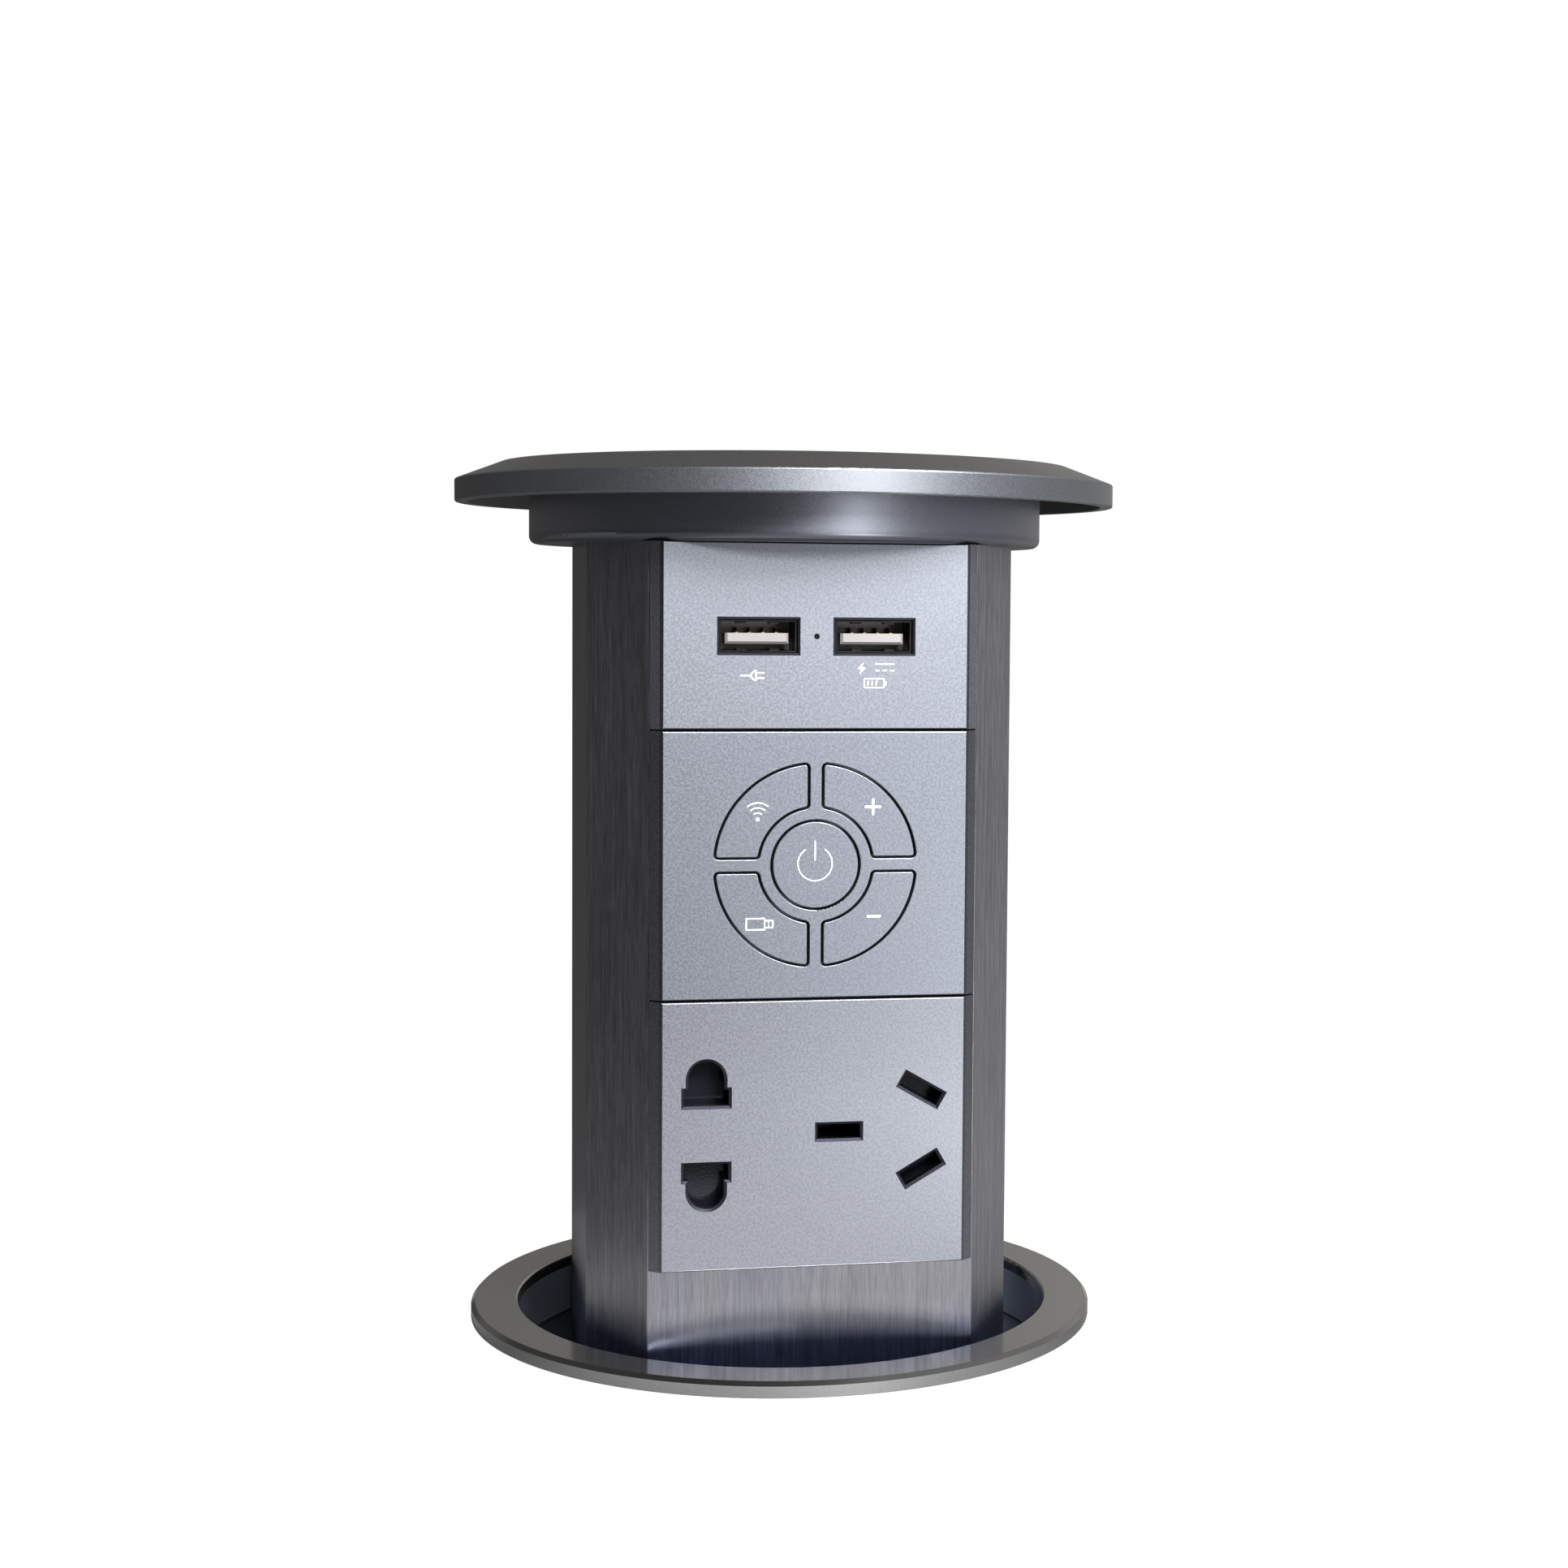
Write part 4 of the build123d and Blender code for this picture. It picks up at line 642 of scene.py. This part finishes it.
class Coat(Enum):
    """The object's finishes."""

    BRUSHED_BODY = BrushedMetal("gunmetal_brushed", (0.262, 0.259, 0.288), 1.0, 0.34)
    PANEL_PAINT = MetallicPaint(
        "silver_lacquer", (0.226, 0.237, 0.27), 0.95, 0.38, face=PANEL_FACE,
    )
    # The socket panel's copy of the lacquer is painted lighter than the keypad's, as painted light.
    SOCKET_PAINT = MetallicPaint(
        "silver_lacquer_socket", (0.265, 0.272, 0.304), 0.95, 0.39,
        face=PANEL_FACE, edge_shade=(0.4, 0.55), light_by_height=(1.13, 0.9), rise=(0.02, 0.066),
        recess=(WINDOW_HALF, 0.018, 0.0618), skin=PANEL_SKIN,
    )
    # The USB panel's copy of the lacquer is painted slightly lighter than the keypad's, as painted
    # light.
    USB_PAINT = MetallicPaint(
        "silver_lacquer_usb", (0.232, 0.242, 0.272), 0.95, 0.4,
        face=PANEL_FACE, edge_shade=(0.4, 0.95),
        recess=(WINDOW_HALF, 0.112, 0.137), skin=PANEL_SKIN,
    )
    # The lid's rim carries a cooler painted tone of its reflections.
    LID_PAINT = MetallicPaint(
        "dark_lacquer", (0.222, 0.214, 0.212), 0.95, 0.43, flake=3200.0, sparkle=0.05,
        brim=0.0591, rim_light_tint=(0.95, 1.02, 1.12),
    )
    # The collar's lower rounded edge is darkened: painted shade.
    COLLAR_PAINT = MetallicPaint(
        "dark_satin", (0.292, 0.302, 0.345), 0.95, 0.36, flake=3200.0, sparkle=0.05,
        light_by_height=(0.4, 1.0), rise=(0.1403, 0.1428),
    )
    # Painted shade darkens the ring's outer edge.
    RING_PAINT = MetallicPaint(
        "warm_gloss", (0.48, 0.472, 0.464), 0.97, 0.12, flake=3600.0, sparkle=0.04,
        neck=(0.0487, 0.0006), brim=0.0559,
    )
    BLACK_PLASTIC = MouldedPlastic("moulded_black", (0.022, 0.024, 0.03), 0.0, 0.42)
    SHUTTER_PLASTIC = MouldedPlastic("shutter_black", (0.007, 0.0078, 0.012), 0.0, 0.13)
    # The barrel is painted lighter inside the bore: painted sheen.
    BARREL_PLASTIC = MouldedPlastic("barrel_slate", (0.06, 0.068, 0.09), 0.0, 0.4, bore=0.0508)
    DARK_STEEL = Finish("blackened_steel", (0.04, 0.036, 0.034), 1.0, 0.28)
    GREY_PLASTIC = MouldedPlastic("moulded_grey", (0.09, 0.095, 0.105), 0.0, 0.4)
    WHITE_PLASTIC = MouldedPlastic("moulded_white", (0.27, 0.25, 0.24), 0.0, 0.4)
    STEEL = Finish("plated_steel", (0.52, 0.52, 0.54), 1.0, 0.3)
    BRASS = Finish("rolled_brass", (0.5, 0.34, 0.14), 1.0, 0.32)
    DARK_BRASS = Finish("tarnished_brass", (0.04, 0.032, 0.024), 1.0, 0.4)
    CIRCUIT_BOARD = SolderMask("solder_mask", (0.012, 0.14, 0.05), 0.0, 0.35)
    RUBBER = MouldedPlastic(
        "moulded_rubber", (0.02, 0.02, 0.02), 0.0, 0.7, pit=900.0, depth=0.06 * MM,
    )
    FERRITE = MouldedPlastic(
        "sintered_ferrite", (0.05, 0.05, 0.055), 0.2, 0.6, pit=1500.0, depth=0.08 * MM,
    )
    CLEAR_LIGHT = Finish("smoked_pipe", (0.004, 0.0045, 0.006), 0.0, 0.2)
    MARK_INK = Ink("white_ink", (0.9, 0.92, 0.93), 0.0, 0.4, glow=0.45)

    def made(self) -> bpy.types.Material:
        """The finish's material, built at its first use."""
        return bpy.data.materials.get(self.value.name) or self.value.material()


# --------------------------------------------------------------------- drawing


@dataclass
class Mark:
    """A flat printed mark, drawn in x and z and facing -Y.

    Args:
        name: The piece's name.
        centre: Where the drawing's origin is, x and z in metres.
        face: The y of the surface that it is printed on.
        ink: How far the print stands out.
        shapes: Its outlines, in millimetres from the centre.
    """

    ROOT = 1.5  # the print's whole thickness, as a share of what stands out

    name: str
    centre: Point
    face: float
    ink: float = 0.03 * MM
    shapes: list[list[Point]] = field(default_factory=list)

    def outline(self, points: Iterable[Point]) -> "Mark":
        """Adds a filled outline, in millimetres from the centre."""
        self.shapes.append(list(points))
        return self

    def bar(self, start: Point, end: Point, width: float, steps: int = 8) -> "Mark":
        """Adds a stroke with round ends.

        Args:
            start: One end of its centre line.
            end: The other end.
            width: The stroke's width.
            steps: Sides of each half-round end.

        Returns:
            This mark.
        """
        heading = math.atan2(end[1] - start[1], end[0] - start[0])
        points = []
        for (x, z), first in ((end, heading - math.pi / 2), (start, heading + math.pi / 2)):
            for step in range(steps + 1):
                angle = first + math.pi * step / steps
                points.append((x + width / 2 * math.cos(angle), z + width / 2 * math.sin(angle)))
        return self.outline(points)

    def arc(
        self, centre: Point, radius: float, first: float, last: float, width: float, steps: int = 48
    ) -> "Mark":
        """Adds a curved stroke.

        Args:
            centre: The arc's centre.
            radius: The radius of its centre line.
            first: Its first angle, in degrees from +x.
            last: Its last angle.
            width: The stroke's width.
            steps: Sides of the curve.

        Returns:
            This mark.
        """
        turns = [math.radians(first + (last - first) * step / steps) for step in range(steps + 1)]
        inner, outer = radius - width / 2, radius + width / 2
        points = [(centre[0] + outer * math.cos(a), centre[1] + outer * math.sin(a)) for a in turns]
        points += [
            (centre[0] + inner * math.cos(a), centre[1] + inner * math.sin(a))
            for a in reversed(turns)
        ]
        return self.outline(points)

    def disc(self, centre: Point, radius: float, steps: int = 24) -> "Mark":
        """Adds a round dot."""
        turns = [2 * math.pi * step / steps for step in range(steps)]
        return self.outline(
            (centre[0] + radius * math.cos(a), centre[1] + radius * math.sin(a)) for a in turns
        )

    def path(self, points: Sequence[Point], width: float) -> "Mark":
        """Adds a run of round-ended strokes."""
        for start, end in zip(points, points[1:]):
            self.bar(start, end, width)
        return self

    def build(self, body: str) -> None:
        """Makes the mark and lets it ride.

        Args:
            body: The body that it is printed on.
        """
        mesh = bpy.data.meshes.new(self.name)
        work = bmesh.new()
        for shape in self.shapes:
            across, up = self.centre
            front_y = self.face - self.ink
            ring = [work.verts.new((across + x * MM, front_y, up + z * MM)) for x, z in shape]
            front = work.faces.new(ring)
            front.normal_update()
            if front.normal.y > 0:
                front.normal_flip()
            walls = bmesh.ops.extrude_face_region(work, geom=[front])
            moved = [item for item in walls["geom"] if isinstance(item, bmesh.types.BMVert)]
            bmesh.ops.translate(work, verts=moved, vec=(0.0, self.ink * self.ROOT, 0.0))
        bmesh.ops.recalc_face_normals(work, faces=work.faces)
        work.to_mesh(mesh)
        work.free()
        piece = bpy.data.objects.new(self.name, mesh)
        bpy.context.collection.objects.link(piece)
        mesh.materials.append(Coat.MARK_INK.made())
        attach(piece, body)
        LOG.info("%s: %d shapes on %s", self.name, len(self.shapes), body)


# --------------------------------------------------------------- sub-assemblies


@dataclass
class Assembly:
    """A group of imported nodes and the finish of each.

    Args:
        coats: The nodes of each finish.
    """

    coats: dict[Coat, tuple[str, ...]] = field(default_factory=dict)

    def build(self) -> None:
        """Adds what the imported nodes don't have; a plain group adds nothing."""

    def dress(self, nodes: dict[str, bpy.types.Object]) -> None:
        """Gives each node its finish.

        Args:
            nodes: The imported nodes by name.
        """
        for coat, names in self.coats.items():
            for name in names:
                for slot in nodes[name].material_slots:
                    slot.link = "OBJECT"
                    slot.material = coat.made()
                LOG.info("%s: %s", name, coat.value.name)


@dataclass
class Lid(Assembly):
    """The round lid and its collar."""

    coats: dict[Coat, tuple[str, ...]] = field(
        default_factory=lambda: {
            Coat.LID_PAINT: ("lid_cover",),
            Coat.COLLAR_PAINT: ("lid_collar",),
            Coat.STEEL: ("collar_screws",),
        }
    )


@dataclass
class Tower(Assembly):
    """The brushed tower, its foot and what stands behind its windows."""

    coats: dict[Coat, tuple[str, ...]] = field(
        default_factory=lambda: {
            Coat.BRUSHED_BODY: ("tower_profile",),
            Coat.BLACK_PLASTIC: ("tower_foot", "speaker_frame", "power_parts"),
            Coat.PANEL_PAINT: ("speaker_panel", "rear_panel"),
            Coat.RUBBER: ("speaker_cone",),
            Coat.FERRITE: ("speaker_magnet",),
            Coat.CIRCUIT_BOARD: ("power_board",),
            Coat.STEEL: ("foot_screws", "speaker_screws", "power_screws", "latch_striker"),
        }
    )


@dataclass
class UsbModule(Assembly):
    """The panel with two charging ports.

    Args:
        port: Half the distance between the ports.
        height: The ports' height.
    """

    port: float = 9.85 * MM
    height: float = 124.5 * MM
    coats: dict[Coat, tuple[str, ...]] = field(
        default_factory=lambda: {
            Coat.USB_PAINT: ("usb_panel",),
            Coat.DARK_STEEL: ("usb_shell_left", "usb_shell_right"),
            Coat.WHITE_PLASTIC: ("usb_tongue_left", "usb_tongue_right"),
            Coat.BRASS: ("usb_contacts",),
            Coat.CIRCUIT_BOARD: ("usb_board",),
            Coat.CLEAR_LIGHT: ("status_led",),
        }
    )

    def build(self) -> None:
        """Prints the marks under the ports."""
        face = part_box("usb_panel")[0][1]
        plug = Mark("mark_plug", (-self.port - 0.45 * MM, self.height - 6.6 * MM), face)
        plug.arc((0.0, 0.0), 0.8, 90.0, 270.0, 0.22, 24).path(((0.0, 0.8), (0.0, -0.8)), 0.22)
        plug.bar((0.0, 0.45), (1.3, 0.45), 0.22).bar((0.0, -0.45), (1.3, -0.45), 0.22)
        plug.bar((-0.8, 0.0), (-2.6, 0.0), 0.22).build("tower")
        supply = Mark("mark_supply", (self.port + 1.8 * MM, self.height - 4.6 * MM), face)
        supply.bar((-1.58, 0.0), (1.58, 0.0), 0.2)
        for middle in (-1.27, 0.0, 1.27):
            supply.bar((middle - 0.3, -1.1), (middle + 0.3, -1.1), 0.2)
        supply.build("tower")
        bolt = Mark("mark_bolt", (self.port - 2.2 * MM, self.height - 5.35 * MM), face)
        half = ((0.35, 1.05), (-0.7, -0.15), (-0.05, -0.15))
        bolt.outline(half + tuple((-x, -z) for x, z in half))
        bolt.build("tower")
        cell = Mark("mark_cell", (self.port, self.height - 7.85 * MM), face)
        cell.path(((-1.7, 0.75), (1.7, 0.75), (1.7, -0.75), (-1.7, -0.75), (-1.7, 0.75)), 0.16)
        cell.bar((2.05, 0.25), (2.05, -0.25), 0.2)
        for middle in (-1.05, -0.35, 0.35):
            cell.bar((middle, 0.3), (middle, -0.3), 0.2)
        cell.build("tower")


@dataclass
class Keypad(Assembly):
    """The panel with five keys.

    Args:
        centre: The height of the keypad's centre.
        reach: How far a key's mark is from the centre, across and up.
    """

    centre: float = 85.85 * MM
    reach: Point = (9.8 * MM, 9.5 * MM)
    coats: dict[Coat, tuple[str, ...]] = field(
        default_factory=lambda: {
            Coat.PANEL_PAINT: (
                "control_panel", "power_button", "volume_up_button", "source_button",
                "input_button", "volume_down_button",
            ),
            Coat.CIRCUIT_BOARD: ("control_board",),
            Coat.STEEL: ("control_screws",),
            Coat.BLACK_PLASTIC: ("tact_switches", "control_chips"),
        }
    )

    def mark(self, name: str, node: str, across: float, up: float) -> Mark:
        """Starts a mark on a key.

        Args:
            name: The mark's name.
            node: The key's node.
            across: Its place from the keypad's centre, along x.
            up: Its place from there, along z.

        Returns:
            The mark, still empty.
        """
        return Mark(name, (across, self.centre + up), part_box(node)[0][1])

    def build(self) -> None:
        """Prints a mark on each key."""
        across, up = self.reach
        plus = self.mark("mark_plus", "volume_up_button", across, up + 0.3 * MM)
        corners = []
        half, stroke, sides = 1.42, 0.2, 8
        for turn in range(4):
            cosine, sine = math.cos(turn * math.pi / 2), math.sin(turn * math.pi / 2)
            arm = [(stroke, -stroke)]
            for step in range(sides + 1):
                angle = -math.pi / 2 + math.pi * step / sides
                arm.append((half - stroke + stroke * math.cos(angle), stroke * math.sin(angle)))
            corners += [(x * cosine - z * sine, x * sine + z * cosine) for x, z in arm]
        plus.outline(corners).build("volume_up_key")
        minus = self.mark("mark_minus", "volume_down_button", across + 0.25 * MM, -up + 0.6 * MM)
        minus.bar((-1.0, 0.0), (1.0, 0.0), 0.42).build("volume_down_key")
        power = self.mark("mark_power", "power_button", -0.08 * MM, 0.23 * MM)
        power.arc((0.0, 0.0), 2.93, 124.0, 416.0, 0.17).bar((0.0, 0.57), (0.0, 3.8), 0.17)
        power.build("power_key")
        waves = self.mark("mark_waves", "source_button", -across - 0.1 * MM, up - 0.2 * MM)
        waves.disc((0.0, -1.5), 0.32)
        for radius in (1.1, 1.95, 2.8):
            waves.arc((0.0, -1.5), radius, 50.0, 130.0, 0.18, 20)
        waves.build("source_key")
        stick = self.mark("mark_stick", "input_button", -across + 0.25 * MM, -up - 0.45 * MM)
        stick.path(((-2.2, 0.95), (0.9, 0.95), (0.9, -0.95), (-2.2, -0.95), (-2.2, 0.95)), 0.22)
        stick.path(((0.9, 0.6), (2.3, 0.6), (2.3, -0.6), (0.9, -0.6)), 0.22)
        stick.bar((1.6, 0.27), (1.6, 0.22), 0.2).bar((1.6, -0.22), (1.6, -0.27), 0.2)
        stick.build("input_key")


@dataclass
class SocketModule(Assembly):
    """The panel with the mains outlets and the mechanism behind it."""

    coats: dict[Coat, tuple[str, ...]] = field(
        default_factory=lambda: {
            Coat.SOCKET_PAINT: ("socket_panel",),
            Coat.BLACK_PLASTIC: ("socket_cover",),
            Coat.SHUTTER_PLASTIC: ("socket_body", "two_pin_shutter", "three_pin_shutter"),
            Coat.DARK_BRASS: ("line_contact", "neutral_contact", "earth_contact"),
            Coat.STEEL: ("socket_screws",),
        }
    )


@dataclass
class Housing(Assembly):
    """The ring on the desk and everything below it."""

    coats: dict[Coat, tuple[str, ...]] = field(
        default_factory=lambda: {
            Coat.RING_PAINT: ("desk_ring",),
            Coat.BARREL_PLASTIC: ("housing_barrel", "housing_floor"),
            Coat.BLACK_PLASTIC: ("clamp_nut", "terminal_block", "mains_gland"),
            Coat.RUBBER: ("clamp_washer", "gas_seal"),
            Coat.STEEL: (
                "gas_rod", "gas_piston", "rod_nut", "latch_bracket", "latch_pins",
                "latch_jaw_left", "latch_jaw_right", "floor_screws",
            ),
            Coat.GREY_PLASTIC: ("gas_cylinder",),
        }
    )


# ---------------------------------------------------------------------- studio


@dataclass(frozen=True)
class Softbox:
    """A soft rectangular light aimed at the tower.

    Args:
        name: The light's name.
        place: Where it stands.
        power: Its power in watts.
        size: Its width and height.
        colour: Its colour.
        aim: The point that it faces.
    """

    name: str
    place: tuple[float, float, float]
    power: float
    size: Point = (0.2, 0.2)
    colour: Colour = (0.97, 0.99, 1.0)
    aim: tuple[float, float, float] = (0.0, 0.0, 0.06)

    def build(self) -> None:
        """Makes the light and turns it to its aim."""
        data = bpy.data.lights.new(self.name, "AREA")
        data.shape = "RECTANGLE"
        data.size, data.size_y = self.size
        data.energy = self.power
        data.color = self.colour
        light = bpy.data.objects.new(self.name, data)
        light.location = self.place
        heading = Vector(self.aim) - light.location
        light.rotation_euler = heading.to_track_quat("-Z", "Y").to_euler()
        bpy.context.collection.objects.link(light)


@dataclass(frozen=True)
class Sky:
    """The light of the surroundings, which changes with the direction it comes from.

    Each change is a slope over x to the right, y behind or z up, or over its opposite.
    A product of two slopes lights a corner.

    Args:
        base: The light from everywhere.
        right_wide: Its rise from left to right.
        right_near: A second rise to the right.
        behind: The share of what stands behind, from the front to the back.
        behind_up: How that starts above the desk.
        behind_top: What is taken off it higher up.
        desk: The share of the desk in front, by how far in front it is.
        desk_down: Its light, by how far down it is.
        side: The share of what is low at either side, by how far to the side it is.
        left_down: Its light at the left, by how far down it is.
        right_down: Its light at the right.
        warming: Where z and y together turn the light from cool to warm.
        cool: The tone low in front.
        warm: The tone high behind.
    """

    base: float = 0.015
    right_wide: Slope = (-0.3, 0.8, (0.0, 0.157))
    right_near: Slope = (0.12, 0.36, (0.0, 0.144))
    behind: Slope = (-0.2, 0.8, (0.0, 1.0))
    behind_up: Slope = (0.12, 0.25, (0.075, 0.155))
    behind_top: Slope = (0.33, 0.5, (0.0, 0.125))
    desk: Slope = (0.5, 1.0, (0.0, 1.0))
    desk_down: Slope = (0.2, 0.45, (0.0, 0.82))
    side: Slope = (0.3, 0.9, (0.0, 1.0))
    left_down: Slope = (0.2, 0.3, (0.025, 0.32))
    right_down: Slope = (0.08, 0.26, (0.0, 0.24))
    warming: Slope = (-0.6, 0.8, (0.0, 1.0))
    cool: Colour = (0.95, 0.98, 1.04)
    warm: Colour = (1.0, 0.965, 0.92)


@dataclass
class Studio:
    """The floor, the surroundings, the lights and the camera.

    Args:
        desk_hole: Radius of the hole that the barrel goes through.
        desk_edge: How far the patch of desk reaches to the side, forward and back.
        desk_drop: How far that patch lies below the ring's seat.
        desk_ahead: The distances in front between which the desk gets brighter.
        desk_beside: The distances to the side between which it does.
        desk_light: Its light near the middle, in front and what the sides add.
        eye: The camera's place.
        yaw: The camera's turn to the left.
        pitch: How far it looks up.
        roll: Its turn about its own line of sight.
        lens: Its focal length in millimetres.
        shift: Its lens shift, as shares of the frame.
        sky: The light of the surroundings.
    """

    DESK_FINISH = Finish("desk_white", (0.08, 0.08, 0.08), 0.0, 0.6)
    DESK_SWING = 0.01  # how much the desk's colour varies
    DESK_SIDES = 128  # how many sides its outline has
    DESK_POWER = 4  # how square that outline is; 2 is an ellipse
    SENSOR = 36.0  # the camera's sensor width in millimetres

    desk_hole: float = 0.0535
    desk_edge: tuple[float, float, float] = (0.1, 0.165, 0.075)
    desk_drop: float = 0.02 * MM
    desk_ahead: Point = (0.02, 0.07)
    desk_beside: Point = (0.055, 0.066)
    desk_light: tuple[float, float, float] = (0.1, 0.66, 0.22)
    eye: tuple[float, float, float] = (-0.06523382, -0.46043097, 0.13039726)
    yaw: float = -0.19327
    pitch: float = -0.05701
    roll: float = -0.00845
    lens: float = 58.0893
    shift: Point = (-0.084886, -0.0238095)
    sky: Sky = Sky()

    def build(self) -> None:
        """Builds the whole studio."""
        self.floor()
        self.surroundings()
        for box in (
            Softbox("key", (0.17, -0.52, 0.53), 8.2),
            Softbox("key_low", (0.19, -0.60, 0.37), 1.55),
            Softbox("key_right", (0.32, -0.54, 0.46), 1.45),
            Softbox("key_middle", (0.0, -0.60, 0.45), 2.3),
            Softbox("window", (0.57, -1.40, 0.28), 1.0, (0.2, 0.5), (0.96, 0.985, 1.0)),
            Softbox("bounce", (0.5, -1.10, -0.20), 3.4, (0.3, 0.3), (0.97, 0.985, 1.0)),
        ):
            box.build()
        self.camera()

    def floor(self) -> None:
        """Lays the patch of desk round the hole."""
        mesh = self.desk_mesh()
        mesh.materials.append(self.desk_material())
        floor = bpy.data.objects.new("desk_patch", mesh)
        bpy.context.collection.objects.link(floor)

    def desk_mesh(self) -> bpy.types.Mesh:
        """Draws the patch as a flat ring with a nearly square outside.

        Returns:
            The patch, facing up.
        """
        mesh = bpy.data.meshes.new("desk_patch")
        work = bmesh.new()
        side, ahead, back = self.desk_edge
        power = self.DESK_POWER
        rings: list[list[bmesh.types.BMVert]] = [[], []]
        for step in range(self.DESK_SIDES):
            angle = 2 * math.pi * step / self.DESK_SIDES
            x, y = math.cos(angle), math.sin(angle)
            depth = back if y > 0 else ahead
            reach = ((x / side) ** power + (y / depth) ** power) ** (-1.0 / power)
            for ring, radius in zip(rings, (self.desk_hole, reach)):
                ring.append(work.verts.new((radius * x, radius * y, -self.desk_drop)))
        inner, outer = rings
        for step in range(self.DESK_SIDES):
            after = (step + 1) % self.DESK_SIDES
            work.faces.new((inner[step], outer[step], outer[after], inner[after]))
        bmesh.ops.recalc_face_normals(work, faces=work.faces)
        if next(iter(work.faces)).normal.z < 0:
            bmesh.ops.reverse_faces(work, faces=work.faces)
        work.to_mesh(mesh)
        work.free()
        return mesh

    def desk_material(self) -> bpy.types.Material:
        """Makes the patch white to the camera, dim in reflections and clear from below.

        Returns:
            The desk's material.
        """
        material, tree = self.DESK_FINISH.start()
        place = tree.place()
        mottle = tree.noise(place, scale=600.0, detail=2.0)
        x, y, _ = place.axes()
        middle, front, extra = self.desk_light
        lit = (-y).spread(*self.desk_ahead, (middle, front))
        lit = lit + abs(x).spread(*self.desk_beside, (0.0, extra))
        seen = tree.add("ShaderNodeLightPath", {}, {}, "Is Camera Ray")
        surface = tree.add(
            "ShaderNodeBsdfPrincipled",
            {},
            {
                "Base Color": self.DESK_FINISH.tint(tree, mottle, self.DESK_SWING),
                "Roughness": self.DESK_FINISH.rough,
                "Emission Color": tree.mix(seen, lit, WHITE),
                "Emission Strength": 1.0,
            },
        )
        behind = tree.add("ShaderNodeNewGeometry", {}, {}, "Backfacing")
        clear = tree.add("ShaderNodeBsdfTransparent", {}, {})
        both = tree.add("ShaderNodeMixShader", {}, {0: behind, 1: surface, 2: clear})
        tree.add("ShaderNodeOutputMaterial", {}, {"Surface": both})
        return material

    def surroundings(self) -> None:
        """Sets a backdrop that is white to the camera and lights the object softly."""
        world = bpy.context.scene.world or bpy.data.worlds.new("studio")
        bpy.context.scene.world = world
        world.use_nodes = True
        tree = ShaderTree(world.node_tree)
        sky = self.sky
        x, y, z = tree.add("ShaderNodeTexCoord", {}, {}, "Generated").axes()
        right = x.spread(*sky.right_wide) + x.spread(*sky.right_near)
        behind = y.spread(*sky.behind) * (z.spread(*sky.behind_up) - z.spread(*sky.behind_top))
        desk = (-y).spread(*sky.desk) * (-z).spread(*sky.desk_down)
        left = (-x).spread(*sky.side) * (-z).spread(*sky.left_down)
        low = x.spread(*sky.side) * (-z).spread(*sky.right_down)
        level = right + behind + desk + left + low + sky.base
        seen = tree.add("ShaderNodeLightPath", {}, {}, "Is Camera Ray")
        tone = tree.mix((z + y).spread(*sky.warming), sky.cool, sky.warm)
        colour = tree.mix(seen, tone * level, WHITE)
        light = tree.add("ShaderNodeBackground", {}, {"Color": colour, "Strength": 1.0})
        tree.add("ShaderNodeOutputWorld", {}, {"Surface": light})

    def camera(self) -> None:
        """Sets the camera where the photograph was taken from."""
        data = bpy.data.cameras.new("camera")
        data.sensor_width = self.SENSOR
        data.sensor_fit = "HORIZONTAL"
        data.lens = self.lens
        data.shift_x, data.shift_y = self.shift
        data.clip_start = 0.01
        camera = bpy.data.objects.new("camera", data)
        ahead = Vector(
            (
                -math.sin(self.yaw) * math.cos(self.pitch),
                math.cos(self.yaw) * math.cos(self.pitch),
                math.sin(self.pitch),
            )
        )
        right = Vector((math.cos(self.yaw), math.sin(self.yaw), 0.0))
        up = right.cross(ahead)
        turned_right = math.cos(self.roll) * right - math.sin(self.roll) * up
        turned_up = math.sin(self.roll) * right + math.cos(self.roll) * up
        frame = Matrix((turned_right, turned_up, -ahead)).transposed().to_4x4()
        frame.translation = Vector(self.eye)
        camera.matrix_world = frame
        bpy.context.collection.objects.link(camera)
        bpy.context.scene.camera = camera


def main() -> None:
    """Loads the frame and builds every class in order."""
    logging.basicConfig(level=logging.INFO, format="%(name)s %(message)s")
    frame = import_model()
    bpy.context.scene.view_settings.view_transform = "Standard"
    for assembly in (Lid(), Tower(), UsbModule(), Keypad(), SocketModule(), Housing()):
        assembly.dress(frame["nodes"])
        assembly.build()
    Studio().build()


if __name__ == "__main__":
    main()
